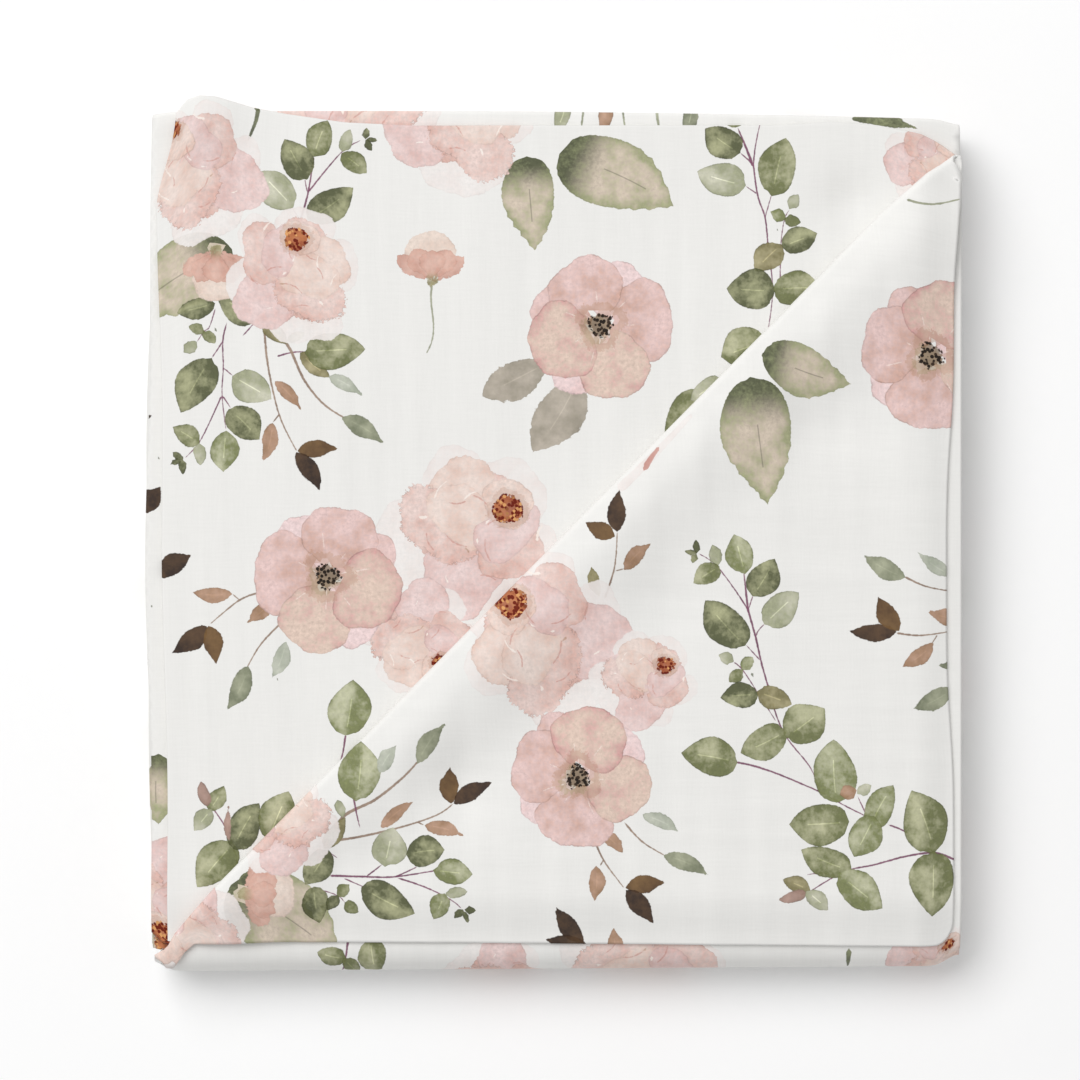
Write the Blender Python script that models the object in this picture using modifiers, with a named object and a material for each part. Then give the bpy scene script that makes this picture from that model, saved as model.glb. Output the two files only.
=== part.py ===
"""A swaddle blanket of printed muslin, folded to a flat square.

The blanket is one sheet of cloth. It lies back and forth in sixteen layers. The lowest layer
comes round the front in one smooth roll and becomes the top layer, and the far left corner of
that top layer is turned over the diagonal onto the near right corner, as a three-cornered flap.

The cloth is laid out flat as one long strip, divided along its folds, and each point of it is
then carried to its folded place. On the strip, "across" runs from 0 at the left side to 1 at the
right side, and "along" is the length of cloth from the far edge of the face that shows.

Metres. +Z is up, the front is towards -Y, and the middle of the underside is at the origin.
"""

import math

import bpy
import numpy as np
from mathutils import Vector
from mathutils.geometry import delaunay_2d_cdt

NAME = "swaddle_blanket"
MM = 0.001

# The cloth, how closely its layers lie, and how far the lowest one's ends rise off the table.
SHEET = 1.2 * MM
PITCH = 2.0 * MM
LAYERS = 16
END_RISE = 0.3 * MM

# Each layer but the top one, from the face that shows down to the one on the table, in mm: how
# far its left and right sides lie from the middle, and how far out its end folds over. The folds
# lie in turn at the front and at the back, and the lowest layer ends where the roll begins.
LAYER_ROWS = (
    # left, right, fold
    (145.8, 149.0, 152.4),
    (149.8, 151.0, 155.8),
    (148.6, 150.4, 156.2),
    (150.0, 150.0, 154.6),
    (149.2, 151.2, 156.6),
    (150.2, 150.2, 155.4),
    (148.8, 151.4, 157.0),
    (149.8, 150.4, 154.4),
    (148.6, 149.8, 156.6),
    (149.8, 151.0, 155.2),
    (148.8, 150.2, 156.0),
    (149.4, 150.8, 154.4),
    (148.4, 149.8, 153.8),
    (148.8, 150.4, 153.6),
    (147.8, 149.6, 150.0),
)
SIDE_WAVE = 0.5 * MM
SIDE_WAVE_LENGTH = 0.137

# The far edge of the face that shows, in mm: a soft lump stands out at its left corner, and its
# right corner is rounded off.
FACE_EDGE = (
    # x, y
    (-148.0, 151.0),
    (-142.5, 154.5),
    (-136.5, 161.6),
    (-132.0, 163.3),
    (-126.0, 163.0),
    (-112.0, 159.0),
    (-100.0, 156.8),
    (-78.0, 153.6),
    (-52.0, 152.4),
    (84.0, 152.6),
    (104.0, 153.8),
    (120.0, 152.6),
    (136.0, 149.4),
    (149.0, 143.3),
)
LUMP_AT = (-130.0 * MM, 157.0 * MM)
LUMP_REACH = 15.0 * MM
LUMP_RISE = 3.2 * MM
FACE_LEFT_TILT = 2.2 * MM
FACE_CORNER_CUT = 7.5 * MM
FACE_CORNER_REACH = 30.0 * MM

# The roll round the front: half an ellipse that stands out from where the lowest layer ends.
ROLL_OUT = 11.8 * MM
ROLL_LEFT = 149.4 * MM
ROLL_RIGHT = 151.4 * MM
ROLL_STEPS = 6

# The flap. Its fold starts low on the roll at the left side and ends at the right side, short of
# the back, and it comes to a point at both ends. Past the bend the cloth rises on to a soft ridge
# and then settles onto the layer below. The flap's near edge lies back from the front of the
# roll, its right side is drawn in at the waist, and its loose corner is rounded.
FOLD_START_ANGLE = math.radians(20)
FOLD_END_Y = 143.0 * MM
FOLD_BOW = 0.0102
FOLD_BOW_END = 0.1
FOLD_RADIUS = 2.2 * MM
FOLD_RADIUS_LEAST = 1.4 * MM
FOLD_TAPER = 0.45
RIDGE_RISE_LEFT = 1.2 * MM
RIDGE_RISE_RIGHT = 3.4 * MM
RIDGE_CREST = 13.0 * MM
RIDGE_FALL = 25.0 * MM
CREEP_LENGTH = 60.0 * MM
DRAWN_BACK_LEFT = 8.6 * MM
DRAWN_BACK_RIGHT = 4.8 * MM
DRAWN_BACK_START = 0.012
DRAWN_BACK_OVER = 0.04
RIGHT_WAIST = 2.8 * MM
RIGHT_WAIST_Y = -17.0 * MM
RIGHT_WAIST_REACH = 58.0 * MM
LOOSE_CORNER = 9.0 * MM

# Soft hollows pressed into the pile, in mm.
HOLLOW_ROWS = (
    # x, y, reach, depth
    (110.0, 128.0, 19.0, 0.9),
    (100.0, 46.0, 22.0, 0.7),
    (24.0, -30.0, 24.0, 0.7),
    (-29.0, -74.0, 20.0, 0.7),
)

# How the sides and corners of the pile give.
LEFT_BULGE = 2.2 * MM
BACK_TILT = 1.4 * MM
BACK_BOW = 1.5 * MM
ROLL_TILT = 1.0 * MM
CORNER_REACH = 13.0 * MM
BACK_LEFT_GIVE = 1.0 * MM
BACK_RIGHT_GIVE = 1.8 * MM
FRONT_LEFT_GIVE = 3.9 * MM
FRONT_RIGHT_GIVE = 4.0 * MM
SIDE_DROP = 0.02
SIDE_REACH = 24.0 * MM
HALF_SIDE = 151.0 * MM

# Where the flat strip is divided: across it, along a layer, round a bend and beside the fold.
ACROSS = (0.0, 0.015, 0.04, 0.075, 0.13, 0.25, 0.4, 0.55, 0.7, 0.82, 0.91, 0.96, 0.985, 1.0)
FACE_FIRST_RUNS = (0.0, 0.02, 0.045, 0.08)
SOFT_LAYERS = 4
SOFT_RUNS = 8
PLAIN_RUNS = 2
LOWEST_RUNS = (0.0, 0.03, 0.5, 0.97, 1.0)
BEND_STEPS = 4
FOLD_LINES = (-22.0, 0.0, 1.7, 3.4, 5.1, 6.9, 10.0, 15.0, 20.0, 25.0, 30.0, 36.0)
FOLD_LINE_STEPS = 13
FLAP_GRID = 12
FLAP_GRID_CLEAR = 0.04
FLAP_EDGE_LINES = (4.5, 10.0)
RIGHT_SIDE_LINES = (0.96, 0.985)
EDGE_STEPS = 14
EDGE_CLEAR = 0.03


def smooth(value):
    """0 below 0, 1 above 1, and an even S between them."""
    value = np.clip(value, 0.0, 1.0)
    return value * value * (3.0 - 2.0 * value)


def height(layer):
    return SHEET / 2 + (layer - 1) * PITCH


TOP = height(LAYERS)
MIDDLE = (height(1) + TOP) / 2
ROLL_Y = -LAYER_ROWS[-1][2] * MM
FACE_BACK = 152.5 * MM


def walk_layers():
    """Stations (y, z, left, right) from the face's far edge down to the end of the lowest layer."""
    rows = []
    y = FACE_BACK
    for index, (left, right, fold) in enumerate(LAYER_ROWS):
        layer = LAYERS - 1 - index
        way = -1.0 if layer % 2 else 1.0
        lowest = layer == 1
        end = way * (fold * MM - (0.0 if lowest else PITCH / 2))
        runs = SOFT_RUNS if index < SOFT_LAYERS else PLAIN_RUNS
        shares = [step / runs for step in range(runs + 1)]
        if index == 0:
            shares = list(FACE_FIRST_RUNS) + shares[1:]
        if lowest:
            shares = LOWEST_RUNS
        for share in shares:
            rise = END_RISE if lowest and share in (0.0, 1.0) else 0.0
            rows.append((y + (end - y) * share, height(layer) + rise, left * MM, right * MM))
        y = end
        if lowest:
            break
        next_left, next_right, _ = LAYER_ROWS[index + 1]
        for step in range(1, BEND_STEPS):
            turn = step / BEND_STEPS
            angle = math.pi * turn
            rows.append((
                end + way * PITCH / 2 * math.sin(angle),
                height(layer) - PITCH / 2 * (1.0 - math.cos(angle)),
                (left + (next_left - left) * turn) * MM,
                (right + (next_right - right) * turn) * MM,
            ))
    return rows


def roll_point(angle):
    """A point of the roll: -90 degrees is under its front, 0 its foremost line, 90 on top."""
    return (
        ROLL_Y - ROLL_OUT * math.cos(angle),
        MIDDLE + (TOP - MIDDLE) * math.sin(angle),
    )


def walk_roll():
    """Stations from the lowest layer round the front to the line where the flap's fold starts."""
    left, right, _ = LAYER_ROWS[-1]
    rows = []
    for step in range(1, ROLL_STEPS + 1):
        part = step / ROLL_STEPS
        angle = -math.pi / 2 + (math.pi / 2 + FOLD_START_ANGLE) * part
        y, z = roll_point(angle)
        rows.append((
            y,
            z,
            left * MM + (ROLL_LEFT - left * MM) * smooth(part),
            right * MM + (ROLL_RIGHT - right * MM) * smooth(part),
        ))
    return rows


STATIONS = np.array(walk_layers() + walk_roll())
ALONG = np.concatenate((
    [0.0],
    np.cumsum(np.hypot(np.diff(STATIONS[:, 0]), np.diff(STATIONS[:, 1]))),
))
FACE_END = ALONG[SOFT_RUNS + len(FACE_FIRST_RUNS) - 1]
ROLL_START = ALONG[-1 - ROLL_STEPS]
TOP_START = ALONG[-1]

# The top layer: how its height and the way it faces follow y, from where the flap's fold starts.
TOP_ANGLES = np.linspace(FOLD_START_ANGLE, math.pi / 2, ROLL_STEPS)
TOP_Y = np.array([roll_point(angle)[0] for angle in TOP_ANGLES] + [FOLD_END_Y])
TOP_Z = np.array([roll_point(angle)[1] for angle in TOP_ANGLES] + [TOP])
TOP_OUT = np.array([(-math.cos(angle), math.sin(angle)) for angle in TOP_ANGLES] + [(0.0, 1.0)])
TOP_DEPTH = FOLD_END_Y - TOP_Y[0]
TOP_WIDTH = ROLL_LEFT + ROLL_RIGHT
FOLD_SCALE = TOP_DEPTH * TOP_WIDTH / math.hypot(TOP_DEPTH, TOP_WIDTH)
SHOULDER_PARTS = [(y - TOP_Y[0]) / TOP_DEPTH for y in TOP_Y[1:-1]]


def on_top(across, up, lift):
    """A point over the top layer: up runs from 0 at the front to 1 at the far end of the fold."""
    x = -ROLL_LEFT + across * TOP_WIDTH
    y = TOP_Y[0] + up * TOP_DEPTH
    out_y = np.interp(y, TOP_Y, TOP_OUT[:, 0])
    out_z = np.interp(y, TOP_Y, TOP_OUT[:, 1])
    return x, y + out_y * lift, np.interp(y, TOP_Y, TOP_Z) + out_z * lift


def round_fold(middle, beyond):
    """The cloth at the flap's fold, from how far beyond the fold's line it lies on the flat cloth:
    how far inside the line it comes to rest, and how high over the layer below."""
    reach = 2.0 * min(middle, 1.0 - middle) * FOLD_SCALE
    radius = min(FOLD_RADIUS, max(FOLD_RADIUS_LEAST, FOLD_TAPER * reach / math.pi))
    bend = math.pi * radius
    if beyond < bend:
        turn = beyond / radius
        return -radius * math.sin(turn), radius * (1.0 - math.cos(turn))
    past = beyond - bend
    room = max(reach - bend, 0.1 * MM)
    inside = past + bend * smooth(past / min(CREEP_LENGTH, room))
    rise = RIDGE_RISE_LEFT + (RIDGE_RISE_RIGHT - RIDGE_RISE_LEFT) * smooth(2.0 * middle)
    rise *= smooth(room / RIDGE_FALL) * smooth(past / RIDGE_CREST)
    return inside, PITCH + (2.0 * radius - PITCH + rise) * math.exp(-((past / RIDGE_FALL) ** 4))


def round_corner(from_side, from_edge):
    """Rounds the flap's loose corner: its distances from the two edges that meet there."""
    in_side = LOOSE_CORNER - from_side
    in_edge = LOOSE_CORNER - from_edge
    if in_side <= 0.0 or in_edge <= 0.0:
        return from_side, from_edge
    share = max(in_side, in_edge) / math.hypot(in_side, in_edge)
    return LOOSE_CORNER - in_side * share, LOOSE_CORNER - in_edge * share


def fold_bow(middle):
    """How far the fold's line bows towards the far left, as a share of the top layer's width."""
    return FOLD_BOW * smooth(middle / FOLD_BOW_END) * smooth((1.0 - middle) / FOLD_BOW_END)


def in_top_layer(across, up):
    """A point of the top layer, whose far left half is turned over the diagonal as the flap."""
    middle = (across + up) / 2
    bow = fold_bow(middle)
    beyond = (up - across - bow) * FOLD_SCALE
    if beyond <= 0.0:
        return on_top(across, up, 0.0)
    inside, lift = round_fold(middle, beyond)
    apart = inside / FOLD_SCALE - bow
    across = middle + apart / 2
    up = middle - apart / 2
    if inside > 0.0:
        back = DRAWN_BACK_LEFT + (DRAWN_BACK_RIGHT - DRAWN_BACK_LEFT) * across
        back *= smooth((across - DRAWN_BACK_START) / DRAWN_BACK_OVER)
        from_edge = up * TOP_DEPTH * (1.0 - back / (across * TOP_DEPTH))
        from_side, from_edge = round_corner((1.0 - across) * TOP_WIDTH, from_edge)
        across = 1.0 - from_side / TOP_WIDTH
        up = (from_edge + back) / TOP_DEPTH
    x, y, z = on_top(across, up, lift)
    waist = RIGHT_WAIST * math.exp(-(((y - RIGHT_WAIST_Y) / RIGHT_WAIST_REACH) ** 4))
    return x - waist * smooth((across - 0.6) / 0.4), y, z


def in_lower_layers(across, along):
    """A point of the face that shows, of the layers below it or of the roll."""
    y = np.interp(along, ALONG, STATIONS[:, 0])
    z = np.interp(along, ALONG, STATIONS[:, 1])
    left = np.interp(along, ALONG, STATIONS[:, 2])
    right = np.interp(along, ALONG, STATIONS[:, 3])
    if along < ROLL_START:
        face_share = smooth((z - height(LAYERS - 2)) / PITCH)
        from_middle = min(1.0, abs(y) / HALF_SIDE)
        left += FACE_LEFT_TILT * y / HALF_SIDE * face_share
        left += LEFT_BULGE * math.cos(math.pi / 2 * from_middle) ** 2 * (1.0 - face_share)
        wave = SIDE_WAVE * math.sin(2.0 * math.pi * along / SIDE_WAVE_LENGTH)
        left += wave
        right += wave
    x = -left + across * (left + right)
    if along < FACE_END:
        corner = smooth((y - FACE_BACK + FACE_CORNER_REACH) / FACE_CORNER_REACH)
        x += FACE_CORNER_CUT * corner * (1.0 - across) ** 12
        edge_x = [row[0] * MM for row in FACE_EDGE]
        edge_y = [row[1] * MM for row in FACE_EDGE]
        y += (np.interp(x, edge_x, edge_y) - FACE_BACK) * smooth(y / FACE_BACK)
        away = math.hypot(x - LUMP_AT[0], y - LUMP_AT[1]) / LUMP_REACH
        z += LUMP_RISE * math.exp(-away * away)
    return x, y, z


def give(x, y, z):
    """How the pile gives: bowed back, slanting roll, eased corners, low sides, soft hollows."""
    part = max(0.0, (z - SHEET / 2) / (TOP - SHEET / 2))
    sideways = x / HALF_SIDE
    at_back = smooth((y - 60 * MM) / (90 * MM)) * (1.0 - smooth((part - 0.88) / 0.05))
    at_front = smooth((-y - 148 * MM) / (8 * MM))
    y += at_back * (BACK_BOW * (1.0 - sideways * sideways) - BACK_TILT * sideways)
    y += at_front * ROLL_TILT * sideways
    if y > 0.0:
        corner = BACK_LEFT_GIVE if x < 0.0 else BACK_RIGHT_GIVE
    else:
        corner = FRONT_LEFT_GIVE if x < 0.0 else FRONT_RIGHT_GIVE
    near_side = smooth(1.0 - (HALF_SIDE - abs(x)) / CORNER_REACH)
    near_end = smooth((abs(y) - 110 * MM) / (40 * MM))
    y -= math.copysign(corner * near_side * near_side * near_end, y)
    side = smooth(1.0 - (HALF_SIDE - abs(x)) / SIDE_REACH)
    drop = SIDE_DROP * side * side * (z - SHEET / 2)
    for hollow_x, hollow_y, reach, depth in HOLLOW_ROWS:
        away = math.hypot(x - hollow_x * MM, y - hollow_y * MM) / (reach * MM)
        drop += depth * MM * math.exp(-away * away) * part ** 4
    return x, y, z - drop


def folded(across, along):
    if along > TOP_START:
        point = in_top_layer(across, (along - TOP_START) / TOP_DEPTH)
    else:
        point = in_lower_layers(across, along)
    return give(*point)


def beside_fold(middle, offset):
    """A point on the flat cloth, from its place along the flap's fold and how far beyond it is."""
    apart = offset + fold_bow(middle)
    across = min(1.0, max(0.0, middle - apart / 2))
    up = min(1.0, max(0.0, middle + apart / 2))
    return across, TOP_START + up * TOP_DEPTH


def fold_line(distance):
    """A line on the flat cloth beside the flap's fold. Its points are closer near its ends, and
    one lies on each shoulder line."""
    offset = distance * MM / FOLD_SCALE
    steps = [math.pi * step / FOLD_LINE_STEPS for step in range(FOLD_LINE_STEPS + 1)]
    parts = sorted([(1.0 - math.cos(step)) / 2 for step in steps] + SHOULDER_PARTS)
    return [beside_fold(abs(offset) / 2 + (1.0 - abs(offset)) * part, offset) for part in parts]


def edge_lines(distance):
    """The two lines on the flat flap that keep a distance from its free edges, clear of its fold."""
    share = distance * MM / TOP_WIDTH
    first = share + EDGE_CLEAR
    steps = [first + (1.0 - first) * step / EDGE_STEPS for step in range(EDGE_STEPS + 1)]
    beside_left = [(share, TOP_START + up * TOP_DEPTH) for up in steps]
    beside_far = [(1.0 - up, TOP_START + (1.0 - share) * TOP_DEPTH) for up in reversed(steps)]
    return [beside_left, beside_far]


def right_side_line(across):
    """A line on the flat top layer beside its right side, from the roll to near the fold."""
    last = across - EDGE_CLEAR
    return [
        (across, TOP_START + last * step / EDGE_STEPS * TOP_DEPTH)
        for step in range(EDGE_STEPS + 1)
    ]


def shoulder_line(part):
    """A line across the shoulder of the roll, from the flap's fold to the right side."""
    first = beside_fold(part, 0.0)
    return [first] + [(across, first[1]) for across in ACROSS if across > first[0] + 0.02]


def flat_points():
    """The divided flat strip: its points, and the lines that its triangles must keep."""
    lines = [[(across, along) for across in ACROSS] for along in ALONG]
    lines += [fold_line(distance) for distance in FOLD_LINES]
    lines += [shoulder_line(part) for part in SHOULDER_PARTS]
    lines += [right_side_line(across) for across in RIGHT_SIDE_LINES]
    for distance in FLAP_EDGE_LINES:
        lines += edge_lines(distance)
    points = [point for line in lines for point in line]
    kept = []
    first = 0
    for line in lines:
        kept += [(first + step, first + step + 1) for step in range(len(line) - 1)]
        first += len(line)
    lower = FOLD_LINES[0] * MM / FOLD_SCALE - FLAP_GRID_CLEAR
    upper = FOLD_LINES[-1] * MM / FOLD_SCALE + FLAP_GRID_CLEAR
    steps = [step / FLAP_GRID for step in range(FLAP_GRID + 1)]
    for up in steps[1:]:
        for across in steps:
            if not lower < up - across < upper:
                points.append((across, TOP_START + up * TOP_DEPTH))
    return points, kept


def fold_blanket():
    """The folded sheet as one object: its middle surface, centred, and thickened both ways."""
    points, lines = flat_points()
    flat = [Vector((across * TOP_WIDTH, along)) for across, along in points]
    flat, _, faces, _, _, _ = delaunay_2d_cdt(flat, lines, [], 0, 1e-6)
    mesh = bpy.data.meshes.new(NAME)
    places = np.array([folded(point.x / TOP_WIDTH, point.y) for point in flat])
    middle = (places.min(axis=0) + places.max(axis=0)) / 2
    places[:, :2] -= middle[:2]
    mesh.from_pydata(places.tolist(), [], faces)
    mesh.validate()
    mesh.shade_smooth()
    blanket = bpy.data.objects.new(NAME, mesh)
    thickness = blanket.modifiers.new("cloth thickness", "SOLIDIFY")
    thickness.thickness = SHEET
    thickness.offset = 0.0
    return blanket


def muslin():
    """Soft white muslin with a matt, slightly warm face."""
    material = bpy.data.materials.new("white muslin")
    material.use_nodes = True
    shader = material.node_tree.nodes["Principled BSDF"]
    shader.inputs["Base Color"].default_value = (0.90, 0.88, 0.87, 1.0)
    shader.inputs["Roughness"].default_value = 0.9
    shader.inputs["Metallic"].default_value = 0.0
    return material


def clear_scene():
    for old in list(bpy.data.objects):
        bpy.data.objects.remove(old, do_unlink=True)


def build():
    clear_scene()
    parts = bpy.data.collections.new(NAME)
    bpy.context.scene.collection.children.link(parts)
    blanket = fold_blanket()
    blanket.data.materials.append(muslin())
    parts.objects.link(blanket)


build()
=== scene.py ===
import math

import bpy
import numpy as np
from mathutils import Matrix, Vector
from mathutils.geometry import delaunay_2d_cdt


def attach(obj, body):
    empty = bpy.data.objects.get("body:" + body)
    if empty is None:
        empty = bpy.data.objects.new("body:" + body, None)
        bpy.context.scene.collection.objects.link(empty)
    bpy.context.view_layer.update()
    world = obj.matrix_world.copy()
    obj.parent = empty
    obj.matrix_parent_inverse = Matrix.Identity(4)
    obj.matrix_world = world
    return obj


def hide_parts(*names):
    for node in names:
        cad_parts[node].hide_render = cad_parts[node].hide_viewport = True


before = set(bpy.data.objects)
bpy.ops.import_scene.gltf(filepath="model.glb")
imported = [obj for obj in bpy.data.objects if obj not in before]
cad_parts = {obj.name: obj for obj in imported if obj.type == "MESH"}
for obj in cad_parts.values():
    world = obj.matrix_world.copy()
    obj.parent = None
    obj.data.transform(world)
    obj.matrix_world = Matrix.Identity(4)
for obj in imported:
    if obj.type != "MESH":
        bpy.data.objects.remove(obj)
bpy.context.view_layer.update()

MM = 0.001

# ---------------------------------------------------------------------------------------------
# The camera looks straight down on the folded blanket through a long lens, as for a flat lay.
# It covers a square 0.401 m wide at the height of the top layer.
# ---------------------------------------------------------------------------------------------
VIEW_WIDTH = 401.2 * MM
VIEW_CENTRE = (-5.0 * MM, -2.0 * MM)
VIEW_LEVEL = 31.0 * MM
VIEW_DISTANCE = 1.6

lens = bpy.data.cameras.new("flat_lay_camera")
lens.sensor_width = 36.0
lens.lens = lens.sensor_width * VIEW_DISTANCE / VIEW_WIDTH
lens.clip_end = 20.0
camera = bpy.data.objects.new("flat_lay_camera", lens)
camera.location = (*VIEW_CENTRE, VIEW_LEVEL + VIEW_DISTANCE)
bpy.context.scene.collection.objects.link(camera)
bpy.context.scene.camera = camera

# ---------------------------------------------------------------------------------------------
# The blanket: one square of white cotton muslin, 1.2 m each way. It lies back and forth in
# sixteen layers, rolls round the front, and its top layer is turned over the diagonal as a flap.
# It is all one piece of cloth, so it is one mesh.
# ---------------------------------------------------------------------------------------------
SHEET = 1.2 * MM
PITCH = 2.0 * MM
LAYERS = 16
END_RISE = 0.3 * MM

# Each layer but the top one, in mm, from the face that shows down to the one on the table.
LAYER_ROWS = (
    # left, right, fold
    (145.8, 149.0, 152.4),
    (149.8, 151.0, 155.8),
    (148.6, 150.4, 156.2),
    (150.0, 150.0, 154.6),
    (149.2, 151.2, 156.6),
    (150.2, 150.2, 155.4),
    (148.8, 151.4, 157.0),
    (149.8, 150.4, 154.4),
    (148.6, 149.8, 156.6),
    (149.8, 151.0, 155.2),
    (148.8, 150.2, 156.0),
    (149.4, 150.8, 154.4),
    (148.4, 149.8, 153.8),
    (148.8, 150.4, 153.6),
    (147.8, 149.6, 150.0),
)
SIDE_WAVE = 0.5 * MM
SIDE_WAVE_LENGTH = 0.137

# The far edge of the face that shows, in mm, with its soft lump and its rounded right corner.
FACE_EDGE = (
    # x, y
    (-148.0, 151.0),
    (-142.5, 154.5),
    (-136.5, 161.6),
    (-132.0, 163.3),
    (-126.0, 163.0),
    (-112.0, 159.0),
    (-100.0, 156.8),
    (-78.0, 153.6),
    (-52.0, 152.4),
    (84.0, 152.6),
    (104.0, 153.8),
    (120.0, 152.6),
    (136.0, 149.4),
    (149.0, 143.3),
)
LUMP_AT = (-130.0 * MM, 157.0 * MM)
LUMP_REACH = 15.0 * MM
LUMP_RISE = 3.2 * MM
FACE_LEFT_TILT = 2.2 * MM
FACE_CORNER_CUT = 7.5 * MM
FACE_CORNER_REACH = 30.0 * MM
FACE_CORNER_SHARP = 12

# The roll round the front, as half an ellipse.
ROLL_OUT = 11.8 * MM
ROLL_LEFT = 149.4 * MM
ROLL_RIGHT = 151.4 * MM
ROLL_STEPS = 20

# The flap: the line of its fold, the bend there, the soft ridge past it, and its drawn-in edges.
FOLD_START_ANGLE = math.radians(20)
FOLD_END_Y = 143.0 * MM
FOLD_BOW = 0.0102
FOLD_BOW_END = 0.1
FOLD_RADIUS = 2.2 * MM
FOLD_RADIUS_LEAST = 1.4 * MM
FOLD_TAPER = 0.45
RIDGE_RISE_LEFT = 1.2 * MM
RIDGE_RISE_RIGHT = 2.7 * MM
RIDGE_CREST = 13.0 * MM
RIDGE_FALL = 26.0 * MM
RIDGE_FALL_POWER = 3.2
CREEP_LENGTH = 60.0 * MM
# How far the flap's near edge is drawn back from the front, in mm, along it from the left.
DRAWN_BACK = (
    # share of the width, drawn back
    (0.012, 0.0),
    (0.022, 1.6),
    (0.04, 7.8),
    (0.052, 9.8),
    (0.1, 8.8),
    (0.19, 7.5),
    (0.5, 6.7),
    (1.0, 4.8),
)
RIGHT_WAIST = 2.8 * MM
RIGHT_WAIST_Y = -17.0 * MM
RIGHT_WAIST_REACH = 58.0 * MM
RIGHT_WAIST_FROM = 0.6
LOOSE_CORNER = 9.0 * MM

# Soft hollows pressed into the pile, and low ripples down the cloth, in mm.
HOLLOW_ROWS = (
    # x, y, reach, depth
    (110.0, 124.0, 11.0, 3.6),
    (101.0, 40.0, 17.0, 1.6),
    (43.0, -29.0, 15.0, 1.3),
    (-1.0, -66.0, 15.0, 2.6),
    (-36.0, -94.0, 15.0, 2.8),
    (-74.0, -120.0, 13.0, 1.6),
    (34.0, 112.0, 24.0, 1.3),
    (-52.0, 14.0, 27.0, 1.0),
)
RIPPLE_ROWS = (
    # length, height, lean, shift
    (9.5, 0.045, 0.03, 0.0),
    (15.0, 0.085, -0.04, 1.9),
    (26.0, 0.13, 0.03, 4.1),
    (58.0, 0.22, -0.12, 2.6),
)
RIPPLE_SPAN = 0.17
RIPPLE_SWELL = 0.35

# How the upper layers slope off at the front and the right, and how the pile's back, sides and
# corners give.
FRONT_SLOPE = 3.4 * MM
FRONT_SLOPE_Y = -153.0 * MM
FRONT_SLOPE_REACH = 20.0 * MM
RIGHT_SLOPE = 1.8 * MM
RIGHT_SLOPE_X = 149.0 * MM
RIGHT_SLOPE_REACH = 15.0 * MM
LEFT_BULGE = 2.2 * MM
BACK_TILT = 1.4 * MM
BACK_BOW = 1.5 * MM
BACK_GIVE_FROM = 60.0 * MM
BACK_GIVE_OVER = 90.0 * MM
BACK_GIVE_TO_LAYER = 0.88
BACK_GIVE_FADE = 0.05
ROLL_TILT = 1.0 * MM
ROLL_TILT_FROM = 148.0 * MM
ROLL_TILT_OVER = 8.0 * MM
CORNER_REACH = 13.0 * MM
CORNER_FROM = 110.0 * MM
CORNER_OVER = 40.0 * MM
BACK_LEFT_GIVE = 1.0 * MM
BACK_RIGHT_GIVE = 1.8 * MM
FRONT_LEFT_GIVE = 3.9 * MM
FRONT_RIGHT_GIVE = 4.0 * MM
SIDE_DROP = 0.02
SIDE_REACH = 24.0 * MM
HALF_SIDE = 151.0 * MM

# How closely the flat cloth is divided: where its print shows, on the roll, at the edges of the
# layers, on the table side, and hidden; and where those edges and the fine parts begin.
FINE = 2.0 * MM
ROLLED = 2.3 * MM
EDGED = 3.0 * MM
PLAIN = 5.0 * MM
HIDDEN = 16.0 * MM
SIDE_STRIP = 8.0 * MM
BACK_STRIP_Y = 146.0 * MM
FRONT_STRIP = 26.0 * MM
UNDER_FLAP = 9.0 * MM
BEFORE_FOLD = 1.0 * MM
SHOWING_LAYERS = 2
SIDE_PROBES = 240
BEND_STEPS = 6
BEND_LINES = (-4.0, -2.0, 0.0, 0.9, 1.8, 2.7, 3.6, 4.5, 5.4, 6.3, 7.2)
EDGE_LINE = 0.8 * MM
FREE_OF_POINTS = (-6.0 * MM, 8.3 * MM)
EASED = 0.3
ROW_PITCH = 0.87
ROW_START = 0.3
TO_LINE = 0.45
TO_EDGE = 0.4
TO_EDGE_COARSE = 0.3


def smooth(value):
    """0 below 0, 1 above 1, and an even S between them."""
    value = np.clip(value, 0.0, 1.0)
    return value * value * (3.0 - 2.0 * value)


def height(layer):
    """How high a layer's middle lies over the table, with the lowest layer as 1."""
    return SHEET / 2 + (layer - 1) * PITCH


TOP = height(LAYERS)
MIDDLE = (height(1) + TOP) / 2
ROLL_Y = -LAYER_ROWS[-1][2] * MM
FACE_BACK = 152.5 * MM


def walk_layers():
    """Stations (y, z, left, right, layer) from the face's far edge to the lowest layer's end."""
    rows = []
    y = FACE_BACK
    for index, (left, right, fold) in enumerate(LAYER_ROWS):
        layer = LAYERS - 1 - index
        way = -1.0 if layer % 2 else 1.0
        lowest = layer == 1
        end = way * (fold * MM - (0.0 if lowest else PITCH / 2))
        shares = (0.0, 0.03, 0.5, 0.97, 1.0) if lowest else (0.0, 0.5, 1.0)
        for share in shares:
            rise = END_RISE if lowest and share in (0.0, 1.0) else 0.0
            rows.append((y + (end - y) * share, height(layer) + rise, left, right, layer))
        y = end
        if lowest:
            break
        next_left, next_right, _ = LAYER_ROWS[index + 1]
        for step in range(1, BEND_STEPS):
            turn = step / BEND_STEPS
            angle = math.pi * turn
            rows.append((
                end + way * PITCH / 2 * math.sin(angle),
                height(layer) - PITCH / 2 * (1.0 - math.cos(angle)),
                left + (next_left - left) * turn,
                right + (next_right - right) * turn,
                layer - 0.5,
            ))
    return rows


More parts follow.
